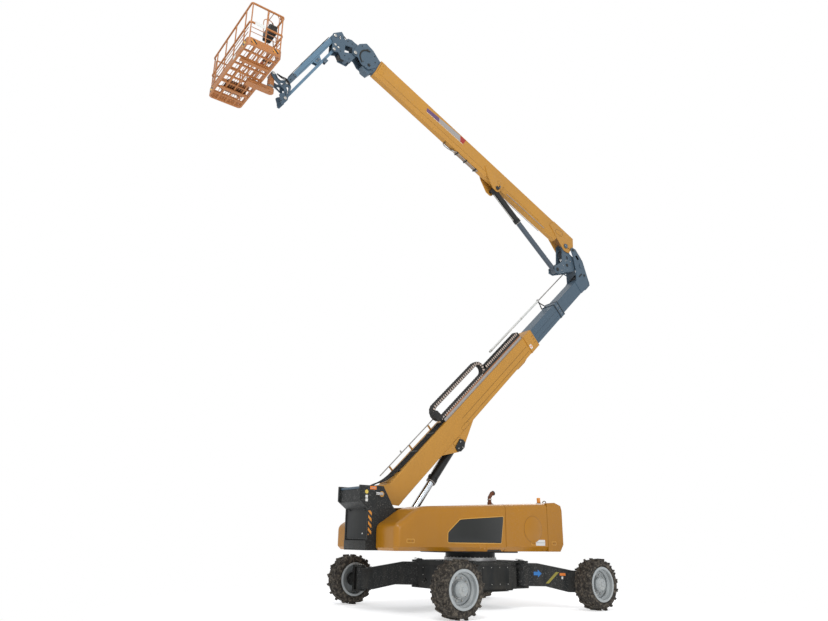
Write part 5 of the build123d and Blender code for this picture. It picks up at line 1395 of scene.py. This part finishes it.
        made += [
            self.bolts("boot_edge_bolts", TOWER, boot, [(11.062 + 0.002 * k, 0.235 + 0.062 * k)
                for k in range(7)], 0.024, 0.014),
            self.bosses("tip_pin_cap", TOWER, 0.213, (10.859, 0.111), 0.07, 0.018, Finish.SLATE, 0.004),
            self.bosses("boot_pin", TOWER, boot, (10.955, 0.69), 0.045, 0.02, Finish.BLACK, 0.004),
            self.bosses("boot_pin_low", TOWER, boot, (10.76, -0.2), 0.04, 0.016, Finish.BLACK, 0.003),
            # Both slots are filled black inside a shade-coloured rim: painted shade inside the open slots.
            self.embossed("boot_slot", TOWER, boot, stadium(10.6, -0.1, 0.22, 0.05),
                stadium(10.6, -0.1, 0.205, 0.036), Finish.HOSE, Finish.SLATE_SHADE),
            self.embossed("boot_slot_b", TOWER, boot, stadium(10.93, 0.4, 0.09, 0.16, 6),
                stadium(10.93, 0.4, 0.075, 0.145, 6), Finish.HOSE, Finish.SLATE_SHADE),
            self.plates("boot_edge", TOWER, boot, [(10.4, -0.575), (10.72, -0.575), (10.79, -0.485),
                (10.81, -0.4), (10.79, -0.4), (10.765, -0.475), (10.71, -0.55), (10.4, -0.55)], 0.008,
                Finish.SLATE, 0.002),
        ]
        for k in range(4):
            h = -0.09 + 0.06 * k
            route = TOWER.route((10.36, -0.1, h), (10.46, -0.085, h), (10.58, -0.075, h * 0.8),
                (10.68, -0.07, h * 0.6))
            made.append(bench.hose("tip_hose", route, 0.012))
        self.mount(made, "tower_tip_fittings", "tower_tip", "slate_paint")

    def upright(self) -> None:
        """Dresses the upright: pin caps, bolts, foot rim, hose bundle and valve block."""
        bench, side = self.bench, (0.14, -0.14)
        foot = (-3.7, 9.72)
        made = [
            self.bosses("main_pin_cap", UPRIGHT, 0.188, (-4.112, 10.626), 0.078, 0.016, Finish.SLATE, 0.004),
            self.bolts("main_pin_bolts", UPRIGHT, 0.204, [(-4.152, 10.626), (-4.072, 10.626)], 0.024, 0.012),
            self.bosses("foot_pin", UPRIGHT, side, foot, 0.06, 0.016, Finish.BLACK, 0.004),
            self.bosses("mid_pin", UPRIGHT, side, (-4.16, 9.98), 0.05, 0.018, Finish.BLACK, 0.004),
            self.bolts("plate_bolts", UPRIGHT, side, [(-3.9, 9.74), (-3.98, 9.92), (-4.12, 10.12),
                (-4.5, 9.98), (-4.34, 10.16)], 0.024, 0.012),
            self.plates("foot_rim", UPRIGHT, side, [(-3.76, 9.602), (-3.59, 9.632), (-3.58, 9.66),
                (-3.75, 9.632), (-4.3, 9.812), (-4.33, 9.798)], 0.008, Finish.SLATE, 0.002),
        ]
        for k in range(4):
            y = -0.09 + 0.06 * k
            route = [(-4.28, y, 10.02), (-4.12, y, 10.12), (-4.02, y * 1.2, 10.3), (-4.04, y, 10.46),
                (-4.12, y, 10.52)]
            made.append(bench.hose("upright_hose", route, 0.012))
        made.append(bench.rod("valve_block", (-4.06, -0.1, 10.02), (-4.06, 0.1, 10.02), 0.035, Finish.ZINC,
            20, 0.004))
        self.mount(made, "upright_fittings", "upright", "slate_paint")

    def lift(self) -> None:
        """Adds the tower cylinder's gland, port block and pipe."""
        top, foot = TOWER.point(2.62, -0.77), Vector((2.33, 0.0, 1.45))
        run = (foot - top).normalized()
        self.cylinder("tower_lift", top, run, 0.11, 1.1, 0.09)

    def build(self) -> None:
        """Dresses the tower's nodes and adds its fittings."""
        self.coat(Finish.OCHRE, "tower_base")
        self.coat(Finish.SLATE, "tower_mid", "tower_tip")
        self.coat(Finish.CHAIN, "energy_chain")
        self.coat(Finish.CYLINDER, "tower_lift_barrel")
        self.coat(Finish.CHROME, "tower_lift_rod")
        self.coat(Finish.SLATE, "upright")
        self.base()
        self.chain()
        self.tubes()
        self.upright()
        self.lift()


class MainBoom(SubAssembly):
    """Main boom, its fly section and its cylinder."""

    def stripe(self) -> Piece:
        """Lays the slanted side stripe in its three plain colours."""
        bands = [
            (Finish.PURPLE, [(6.305, 0.25), (6.335, 0.372), (5.86, 0.41), (5.8, 0.262)]),
            (Finish.GREY, [(5.8, 0.262), (5.86, 0.41), (5.0, 0.47), (4.93, 0.28)]),
            (Finish.RED, [(4.93, 0.28), (5.0, 0.47), (4.77, 0.486), (4.81, 0.283)]),
        ]
        made = [self.plates("stripe", MAIN, 0.15, outline[::-1], 0.0016, finish) for finish, outline in bands]
        line = [(6.303, 0.24), (4.81, 0.272), (4.81, 0.262), (6.301, 0.23)]
        made.append(self.plates("stripe_line", MAIN, 0.15, line, 0.0016, Finish.WHITE))
        return self.bench.join(made, "stripe")

    def build(self) -> None:
        """Dresses the main boom's nodes, lays the side stripe and adds pipes, collar and pins."""
        bench, ear = self.bench, 0.17
        self.coat(Finish.OCHRE, "main_boom")
        self.coat(Finish.SLATE, "main_fly")
        self.coat(Finish.CYLINDER, "main_lift_barrel")
        self.coat(Finish.SLATE_ROD, "main_lift_rod")
        d_shape = [(0.585, 0.225), (0.56, 0.3), (0.3, 0.408), (0.235, 0.33), (0.25, 0.235), (0.33, 0.18),
            (0.52, 0.17)]
        d_inner = [(0.572, 0.228), (0.55, 0.291), (0.305, 0.394), (0.247, 0.327), (0.262, 0.242),
            (0.336, 0.191), (0.515, 0.182)]
        made = [
            self.stripe(),
            self.embossed("ear_press", MAIN, ear, d_shape[::-1], d_inner[::-1]),
            self.embossed("trunnion_press", MAIN, ear, stadium(3.18, 0.085, 0.13, 0.13, 9),
                stadium(3.18, 0.085, 0.118, 0.118, 9)),
            self.bosses("trunnion_cap", MAIN, 0.178, (3.17, -0.15), 0.066, 0.014, Finish.BLACK, 0.004),
            self.plates("trunnion_keeper", MAIN, ear, rounded(3.1, -0.045, 0.05, 0.12, 0.01), 0.014,
                Finish.BLACK, 0.002),
            self.bolts("trunnion_bolts", MAIN, 0.184, [(3.1, -0.075), (3.1, -0.015)], 0.02, 0.01),
            self.bolts("ear_bolts", MAIN, ear, [(-0.06, 0.1), (-0.13, 0.02)], 0.026, 0.012, Finish.BLACK),
            self.plates("collar_side", MAIN, 0.15, [(7.93, 0.055), (8.165, 0.055), (8.165, 0.497),
                (7.98, 0.497)], 0.008, Finish.OCHRE, 0.003),
            self.plates("collar_line", MAIN, 0.158, rounded(8.13, 0.275, 0.014, 0.4, 0.005), 0.003,
                Finish.OCHRE_SHADE),
            self.bolts("collar_bolts", MAIN, 0.158, [(8.05, 0.13), (8.05, 0.27), (8.05, 0.41)], 0.02, 0.01,
                Finish.OCHRE),
            self.plates("edge_line", MAIN, 0.15, rounded(4.6, 0.066, 6.6, 0.008, 0.003), 0.0015,
                Finish.OCHRE_SHADE),
        ]
        made += [
            bench.block("collar_roof", MAIN.roof(8.06, 0.498), (0.2, 0.3, 0.01), Finish.OCHRE, 0.003),
            bench.block("roof_tab", MAIN.roof(8.08, 0.506, 0.1), (0.08, 0.02, 0.05), Finish.OCHRE, 0.004),
        ]
        made += [bench.hose("under_pipe", MAIN.route((1.0, -0.005, y), (2.4, -0.006, y),
            (2.75, -0.006, y * 0.92)), 0.009, Finish.GREY) for y in (-0.128, 0.128)]
        made += [bench.hose("front_pipe", MAIN.route((3.95, -0.048, y), (4.3, -0.062, y), (4.9, -0.062, y)),
            0.01, Finish.GREY) for y in (-0.045, 0.0, 0.045)]
        made += [bench.block("pipe_clamp", MAIN.belly(a, -0.03), (0.04, 0.15, 0.05), Finish.DARK, 0.004)
            for a in (4.05, 4.45, 4.82)]
        made.append(bench.rod("pipe_fitting", MAIN.point(4.9, -0.062, 0.0), MAIN.point(5.02, -0.075, 0.0),
            0.02, Finish.ZINC))
        for y in (-0.03, 0.03):
            route = MAIN.route((4.95, -0.068, y), (5.1, -0.115, y), (5.26, -0.135, y), (5.36, -0.09, y),
                (5.3, -0.036, y))
            made.append(bench.hose("under_loop", route, 0.01))
        self.mount(made, "main_boom_fittings", "main_boom", "ochre_paint")
        self.fly()
        top = MAIN.point(3.17, -0.15)
        run = (Vector((-3.7, 0.0, 9.72)) - top).normalized()
        self.cylinder("main_lift", top, run, 0.095, 1.27, 0.082)

    def fly(self) -> None:
        """Adds the head plates' ring, pins and bolts and the hoses inside the head."""
        bench, side = self.bench, 0.138
        head = Vector((3.72, 0.0, 14.22))
        turns = [math.radians(100 - 16 * k) for k in range(10)]
        arc, inner = ([(3.62 + r * math.cos(t), 14.16 + r * math.sin(t)) for t in turns]
            for r in (0.3, 0.255))
        made = [
            self.plates("head_arc", UPRIGHT, side, inner[::-1] + arc, 0.01, Finish.BLACK, 0.002),
            self.bosses("level_cap", UPRIGHT, 0.152, (4.06, 14.16), 0.052, 0.014, Finish.ZINC, 0.004),
            self.bosses("head_pin", UPRIGHT, side, (3.66, 14.44), 0.04, 0.018, Finish.BLACK, 0.004),
            self.bosses("head_pin_low", UPRIGHT, side, (3.6, 13.98), 0.045, 0.018, Finish.BLACK, 0.004),
            self.bolts("head_bolts", UPRIGHT, side, [(3.42, 14.36), (3.4, 14.16), (3.84, 14.5),
                (3.78, 14.02)], 0.024, 0.012, Finish.DARK),
        ]
        for k in range(3):
            y = -0.06 + 0.06 * k
            route = [head + Vector((-0.3, y, 0.22)), head + Vector((-0.1, y, 0.3)),
                head + Vector((0.1, y, 0.22)), head + Vector((0.2, y * 0.6, 0.06)),
                head + Vector((0.12, y * 0.6, -0.14))]
            made.append(bench.hose("head_hose", route, 0.012))
        made.append(bench.block("wear_block", MAIN.belly(8.3, -0.02, 0.0), (0.16, 0.16, 0.03), Finish.BLACK,
            0.006))
        self.mount(made, "main_fly_fittings", "main_fly", "slate_paint")


class Jib(SubAssembly):
    """Levelling head, jib, link and end frame."""

    def build(self) -> None:
        """Dresses the jib's nodes and adds castings, pins, the head's cylinder, clamps and lines."""
        bench = self.bench
        self.coat(Finish.SLATE, "jib_base")
        self.coat(Finish.JIB_BLUE, "jib_beam", "jib_link")
        self.coat(Finish.SLATE, "jib_end")
        side = 0.102
        caps = [
            ("jib_pin_cap", 0.112, (4.678, 14.438), 0.046, 0.012),
            ("link_pin_cap", 0.112, (4.689, 13.983), 0.042, 0.012),
            ("rod_pin", side, (4.655, 14.15), 0.034, 0.018),
            ("rod_pin_low", side, (4.56, 14.105), 0.03, 0.018),
        ]
        made = [
            *(self.bosses(name, UPRIGHT, y, spot, radius, height, Finish.ZINC, 0.004)
                for name, y, spot, radius, height in caps),
            self.bolts("base_bolts", UPRIGHT, side, [(4.42, 14.5), (4.28, 14.46), (4.14, 14.44),
                (4.22, 13.9), (4.36, 13.94), (4.5, 14.02)], 0.022, 0.01, Finish.DARK),
            bench.rod("jib_cylinder", (4.13, 0, 13.94), (4.5, 0, 13.855), 0.066, Finish.BLACK, 32, 0.01),
            bench.rod("jib_cylinder_cap", (4.47, 0, 13.862), (4.53, 0, 13.848), 0.072, Finish.DARK, 32,
                0.012),
        ]
        for k in range(3):
            y = -0.05 + 0.05 * k
            route = [(4.26, y, 14.47), (4.32, y, 14.58), (4.44, y, 14.63), (4.57, y * 0.6, 14.58),
                (4.6, y * 0.6, 14.52)]
            made.append(bench.hose("base_hose", route, 0.011))
        self.mount(made, "jib_base_fittings", "jib_base", "slate_paint")
        made = [
            self.plates("root_casting", JIB, 0.065, [(-0.055, -0.045), (0.17, -0.062), (0.2, 0.0),
                (0.17, 0.066), (-0.055, 0.045), (-0.068, 0.0)], 0.007, Finish.SLATE, 0.002),
            self.plates("end_casting", JIB, 0.065, [(2.06, -0.066), (2.46, -0.058), (2.535, -0.03),
                (2.535, 0.03), (2.46, 0.058), (2.06, 0.066), (2.02, 0.0)], 0.008, Finish.SLATE, 0.002),
            bench.plate("end_casting_roof", JIB.roof(0.0, 0.066), [(2.07, -0.066), (2.44, -0.066),
                (2.44, 0.066), (2.07, 0.066)], 0.007, Finish.SLATE, 0.002),
            self.plates("clamp_face", JIB, 0.052, rounded(1.085, -0.125, 0.17, 0.07, 0.01), 0.006,
                Finish.SLATE, 0.002),
            self.bolts("clamp_bolts", JIB, 0.058, [(1.03, -0.125), (1.14, -0.125)], 0.02, 0.01),
            self.bolts("casting_bolts", JIB, 0.073, [(2.1, 0.03), (2.1, -0.03), (2.28, 0.0), (2.4, 0.0)],
                0.02, 0.008, Finish.DARK),
            self.plates("jib_seam", JIB, 0.065, rounded(1.1, -0.045, 1.7, 0.006, 0.002), 0.0012,
                Finish.SLATE_SHADE),
        ]
        for k in range(3):
            y = -0.035 + 0.035 * k
            made.append(bench.hose("jib_line", JIB.route((0.16, 0.092, y), (0.7, 0.094, y), (1.5, 0.094, y),
                (2.2, 0.085, y)), 0.008))
        made += [bench.block("line_clip", JIB.roof(a, 0.078), (0.03, 0.11, 0.026), Finish.SLATE, 0.003)
            for a in (0.45, 1.0, 1.55)]
        self.mount(made, "jib_beam_fittings", "jib", "slate_paint")
        made = [
            self.plates("link_clamp", LINK, 0.03, rounded(0.47, -0.045, 0.16, 0.11, 0.015), 0.01,
                Finish.SLATE, 0.003),
            bench.block("link_foot", LINK.belly(0.47, -0.036), (0.15, 0.06, 0.062), Finish.BLACK, 0.008),
            self.bolts("link_bolts", LINK, 0.04, [(0.42, -0.055), (0.52, -0.055)], 0.018, 0.008),
        ]
        self.mount(made, "jib_link_fittings", "jib_link", "slate_paint")
        side = 0.116
        caps = [((5.954, 12.288), 0.042), ((5.965, 11.833), 0.04), ((6.33, 12.41), 0.042)]
        made = [
            *(self.bosses("end_pin_cap", UPRIGHT, 0.126, spot, radius, 0.01, Finish.ZINC, 0.003)
                for spot, radius in caps),
            self.bolts("end_bolts", UPRIGHT, side, [(6.03, 12.22), (5.9, 12.17), (5.905, 12.04),
                (6.06, 11.72), (6.24, 12.33)], 0.02, 0.01, Finish.DARK),
            self.plates("arm_rib", UPRIGHT, side, [(6.12, 12.262), (6.22, 12.312), (6.275, 12.405),
                (6.255, 12.41), (6.205, 12.325), (6.11, 12.276)], 0.007, Finish.BLACK, 0.002),
        ]
        for k in range(3):
            y = 0.128 + 0.004 * k
            z = 0.03 * k
            route = [(5.88, y, 12.3 - z), (5.97, y + 0.02, 12.4 - z), (6.12, y + 0.03, 12.37 - z),
                (6.25, y + 0.02, 12.42 - z * 0.5)]
            made.append(bench.hose("end_hose", route, 0.009))
        self.mount(made, "jib_end_fittings", "jib_end", "slate_paint")


class Platform(SubAssembly):
    """Work platform with its mount, rails, gate and console."""

    def drive(self) -> None:
        """Adds the turning drive's flange, cap and bolts."""
        bench = self.bench
        axis = level(6.33, 0, 12.0905)
        ring = bench.turned("drive_flange", axis, bevelled(0.07, 0.0838, 0.022, 0.078, 0.028), Finish.STEEL,
            40)
        ring.data.transform(Matrix.Translation((0, 0, 0.06)))
        cap = bench.turned("drive_cap", axis, [(0.04, 0.0), (0.072, 0.0), (0.076, -0.018), (0.06, -0.04),
            (0.04, -0.04)], Finish.GREY, 40)
        down = Plane(axis.origin, AHEAD, Vector((0, -1, 0)))
        nuts = bench.nuts("drive_bolts", 0.014, 0.008, down.ring(0.079, 10, 0.0))
        pin = self.bolts("mount_bolts", UPRIGHT, 0.086, [(6.3, 12.3), (6.36, 12.3)], 0.018, 0.004,
            Finish.DARK)
        self.mount([ring, cap, nuts, pin], "drive_fittings", "platform_mount", "basket_paint")

    def floor(self) -> None:
        """Adds toe-board bars, deck bars, kick plate, pedals, webs beside the arm and cross channels."""
        bench = self.bench
        made = [self.plates("toe_bars", UPRIGHT, 1.2202, rounded(x, 12.105, 0.14, 0.1, 0.006), 0.0015,
            Finish.HAZARD_X) for x in (6.76, 7.29)]
        for x, way in ((6.5998, -1), (7.4502, 1)):
            face = facing(x, 0, 0, way)
            made += [bench.plate("toe_bars_end", face, rounded(y, 12.105, 0.18, 0.1, 0.006), 0.0015,
                Finish.HAZARD) for y in (-1.02, 1.02)]
            made += [
                bench.plate("toe_rim", face, rounded(0.0, 12.182, 2.2, 0.012, 0.004), 0.005, Finish.BASKET_SHADED,
                    0.001),
                bench.plate("blank", face, rounded(0.45, 12.11, 0.16, 0.09, 0.006), 0.0015, Finish.WHITE),
            ]
        deck = level(0, 0, 12.0405)
        bar = bench.plate("deck_bar", HOME, rounded(0, 0, 0.014, 2.3, 0.003, 2), 0.004, Finish.BASKET_SHADED)
        places = [deck.moved(6.68 + 0.058 * k, 0.0, -0.004).matrix() for k in range(12)]
        made += [
            bench.repeat(bar, "deck_bars", places),
            bench.plate("kick_plate", deck, rounded(7.02, -0.55, 0.55, 0.5, 0.02), 0.003, Finish.BASKET_DARK,
                0.001),
        ]
        for spot in ((6.8, 0.62), (6.8, 0.86)):
            made.append(bench.block("pedal_base", deck.moved(*spot, 0.0), (0.2, 0.13, 0.02), Finish.BLACK,
                0.004))
            tilted = Plane(deck.at(*spot, 0.024), Vector((0.97, 0, 0.24)).normalized(), LEFT)
            made.append(bench.block("pedal", tilted, (0.18, 0.11, 0.018), Finish.RED_PEDAL, 0.005))
        web = [(6.44, 11.915), (6.93, 11.985), (6.93, 11.915)]
        made.append(self.plates("arm_web", UPRIGHT, -0.096, web, 0.006, Finish.BASKET_SHADED, 0.002))
        made += [bench.block("cross_channel", Plane(Vector((7.02, y, 11.9995)), AHEAD, Vector((0, -1, 0))),
            (0.7, 0.1, 0.03), Finish.BASKET_SHADED, 0.004) for y in (-0.62, 0.62)]
        self.mount(made, "platform_deck_fittings", "platform", "basket_paint")

    def rails(self) -> None:
        """Adds infill bars, post feet, bare plates, guard hoops, the console's controls and the gate's latch."""
        bench = self.bench
        made = []
        for x in (6.622, 7.428):
            made += [bench.rod("infill", (x, -1.14, z), (x, 1.14, z), 0.008, Finish.BASKET_SHADED, 12)
                for z in (12.36, 12.49)]
            made += [bench.turned("post_foot", level(x - 0.002 if x < 7 else x + 0.002, y, 12.19),
                bevelled(0.0155, 0.021, 0.03, 0.018, 0.036), Finish.BASKET_SHADED, 16)
                for y in (-0.9, -0.3, 0.3, 0.9)]
        made += [bench.rod("infill_left", (6.67, 1.197, z), (7.38, 1.197, z), 0.008, Finish.BASKET_SHADED, 12)
            for z in (12.36, 12.49)]
        plate = flank(1.2152, True)
        made.append(bench.plate("blank_left", plate, rounded(-7.18, 12.62, 0.26, 0.1, 0.01), 0.002,
            Finish.WHITE))
        face = facing(6.6045, 0, 0, -1)
        made.append(bench.plate("blank_inner", face, rounded(-0.2, 12.62, 0.34, 0.1, 0.01), 0.003,
            Finish.BASKET_DARK, 0.001))
        for y in (0.6, 0.9):
            hoop = [(6.622, y, 13.14), (6.615, y, 13.28), (6.64, y, 13.4), (6.76, y, 13.46), (6.88, y, 13.42),
                (6.9, y, 13.28), (6.872, y, 13.02)]
            made.append(bench.hose("guard_hoop", hoop, 0.01, Finish.BASKET_SHADED, 2))
        made.append(bench.hose("guard_bar", [(6.76, 0.58, 13.453), (6.76, 0.75, 13.453),
            (6.76, 0.92, 13.453)], 0.009, Finish.BASKET_SHADED, 2))
        top = level(6.77, 0.76, 13.0205)
        made.append(bench.plate("console_face", top, rounded(0.0, 0.0, 0.185, 0.4, 0.02), 0.006, Finish.BLACK,
            0.002))
        for y in (-0.13, 0.13):
            made += [
                bench.turned("stick_boot", top.moved(0.0, y, 0.006),
                    [(0.0, 0.0), (0.03, 0.0), (0.026, 0.012), (0.014, 0.026), (0.008, 0.034), (0.0, 0.034)],
                    Finish.HOSE, 24),
                bench.rod("stick", top.at(0.0, y, 0.03), top.at(0.01, y, 0.085), 0.006, Finish.STEEL, 12),
                bench.turned("knob", top.moved(0.01, y, 0.08), [(0.0, 0.0), (0.012, 0.002), (0.017, 0.014),
                    (0.013, 0.028), (0.0, 0.032)], Finish.HOSE, 20),
            ]
        made += [bench.boss("switch", top.moved(-0.06, -0.08 + 0.04 * k, 0.006), 0.008, 0.012, Finish.ZINC)
            for k in range(5)]
        made += [
            bench.boss("stop_base", top.moved(0.055, 0.0, 0.006), 0.02, 0.008, Finish.YELLOW),
            bench.boss("stop_button", top.moved(0.055, 0.0, 0.014), 0.015, 0.016, Finish.RED_PEDAL, 0.003),
        ]
        cover = facing(6.6695, 0.76, 12.92, -1)
        made += [
            bench.plate("console_back", cover, rounded(0.0, 0.0, 0.36, 0.16, 0.02), 0.006, Finish.BASKET_SHADED,
                0.002),
            *(bench.rod("console_stay", (6.65, y, 12.82), (6.624, y, 12.62), 0.012, Finish.BASKET_SHADED)
                for y in (0.7, 0.86)),
        ]
        lamp = level(6.622, 1.02, 13.165)
        made.append(bench.turned("lamp_stem", lamp, [(0.0, 0.0), (0.014, 0.0), (0.014, 0.06), (0.032, 0.07),
            (0.036, 0.12), (0.026, 0.14), (0.0, 0.142)], Finish.BASKET_SHADED, 24))
        self.mount(made, "platform_rail_fittings", "platform", "basket_paint")
        latch = [bench.block("latch_plate", Plane(Vector((7.34, -1.185, 12.66)), Vector((-1, 0, 0)), UP),
            (0.06, 0.1, 0.012), Finish.ZINC, 0.003)]
        latch.append(bench.rod("latch_bolt", (7.3, -1.179, 12.68), (7.372, -1.179, 12.68), 0.008,
            Finish.STEEL, 12))
        latch += [bench.block("gate_hinge", Plane(Vector((6.705, -1.212, z)), AHEAD, UP), (0.06, 0.05, 0.008),
            Finish.ZINC, 0.002) for z in (12.35, 13.0)]
        self.mount(latch, "gate_fittings", "gate", "basket_paint")

    def build(self) -> None:
        """Dresses the platform's nodes and adds its fittings."""
        # The basket paint carries painted shade: it is darkened from yellow-orange to copper brown.
        self.coat(Finish.BASKET_SHADED, "platform_mount", "platform_floor", "platform_arm", "platform_rails_inner")
        self.coat(Finish.BASKET_SHADED, "platform_rails_outer", "platform_rails_left", "platform_gate")
        self.coat(Finish.DARK, "control_console")
        self.drive()
        self.floor()
        self.rails()


@dataclass
class Studio:
    """Floor, light and camera."""

    eye: Colour = (11.59, 13.376, 1.486)
    yaw: float = 0.6306
    pitch: float = 0.3314
    roll: float = 0.0144
    lens: float = 29.14
    glow: float = 0.52
    ambient: float = 0.56
    fade: Point = (4.2, 8.5)
    lamps: list[tuple[str, Colour, float, float]] = field(default_factory=lambda: [
        ("key", (16.0, 14.0, 24.0), 9.0, 3000.0), ("fill", (2.0, 24.0, 9.0), 12.0, 1150.0),
        ("back", (-18.0, -8.0, 16.0), 10.0, 950.0)])

    def floor(self) -> None:
        """Lays a pale floor that the camera sees as white."""
        bpy.ops.object.select_all(action="DESELECT")
        bpy.ops.mesh.primitive_plane_add(size=240.0)
        ground = bpy.context.object
        ground.name = "studio_floor"
        g = Graph("studio_floor")
        shade = g.node("ShaderNodeBsdfDiffuse", None, {"Color": (0.88, 0.88, 0.88)})
        glow = g.node("ShaderNodeEmission", None, {"Color": (1.0, 1.0, 1.0), "Strength": self.glow})
        near = g.node("ShaderNodeAddShader", None, {0: shade, 1: glow})
        white = g.node("ShaderNodeEmission", None, {"Color": (1.0, 1.0, 1.0), "Strength": 1.0})
        east, north = g.axis("X"), g.axis("Y")
        away = ((east * east + north * north) ** 0.5).ramp(*self.fade)
        path = g.node("ShaderNodeLightPath", out="Is Camera Ray")
        both = g.node("ShaderNodeMixShader", None, {0: away * path, 1: near, 2: white})
        g.end(both)
        ground.data.materials.append(g.owner)

    def light(self) -> None:
        """Sets a plain pale world and three large soft lamps aimed at the machine."""
        scene = bpy.context.scene
        g = Graph("studio", world=True)
        scene.world = g.owner
        ambient = g.node("ShaderNodeBackground", None, {"Color": (0.92, 0.95, 1.0), "Strength": self.ambient})
        white = g.node("ShaderNodeBackground", None, {"Color": (1.0, 1.0, 1.0), "Strength": 1.0})
        seen, shiny, clear = (g.node("ShaderNodeLightPath", out=f"Is {ray} Ray")
            for ray in ("Camera", "Glossy", "Transmission"))
        g.end(g.node("ShaderNodeMixShader", None, {0: seen.at_least(shiny.at_least(clear)), 1: ambient,
            2: white}))
        target = Vector((1.0, 0.0, 6.0))
        for name, place, size, power in self.lamps:
            lamp = bpy.data.lights.new(name, "AREA")
            lamp.size = size
            lamp.energy = power
            holder = bpy.data.objects.new(name, lamp)
            holder.location = place
            holder.rotation_euler = (target - Vector(place)).to_track_quat("-Z", "Y").to_euler()
            scene.collection.objects.link(holder)

    def camera(self) -> None:
        """Stands the camera where the photograph was taken from."""
        forward = Vector((-math.sin(self.yaw) * math.cos(self.pitch),
            -math.cos(self.yaw) * math.cos(self.pitch), math.sin(self.pitch)))
        right = Vector((-math.cos(self.yaw), math.sin(self.yaw), 0.0))
        up = right.cross(forward)
        c, s = math.cos(self.roll), math.sin(self.roll)
        first, second = right * c + up * s, up * c - right * s
        view = bpy.data.cameras.new("photo_view")
        view.lens = self.lens
        view.sensor_width = 36.0
        view.sensor_fit = "HORIZONTAL"
        view.clip_end = 400.0
        holder = bpy.data.objects.new("photo_view", view)
        place = Matrix((first, second, -forward)).transposed().to_4x4()
        place.translation = Vector(self.eye)
        holder.matrix_world = place
        bpy.context.scene.collection.objects.link(holder)
        bpy.context.scene.camera = holder

    def build(self) -> None:
        """Sets up the whole studio."""
        self.floor()
        self.light()
        self.camera()
        bpy.context.scene.view_settings.view_transform = "Standard"


def main() -> None:
    """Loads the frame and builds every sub-assembly."""
    logging.basicConfig(level=logging.INFO, format="%(name)s %(message)s")
    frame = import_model()
    bench = Bench(Paintshop())
    for kind in (RunningGear, Chassis, Turntable, Tower, MainBoom, Jib, Platform):
        kind(bench, frame).build()
        log.info("%s done", kind.__name__)
    Studio().build()


if __name__ == "__main__":
    main()
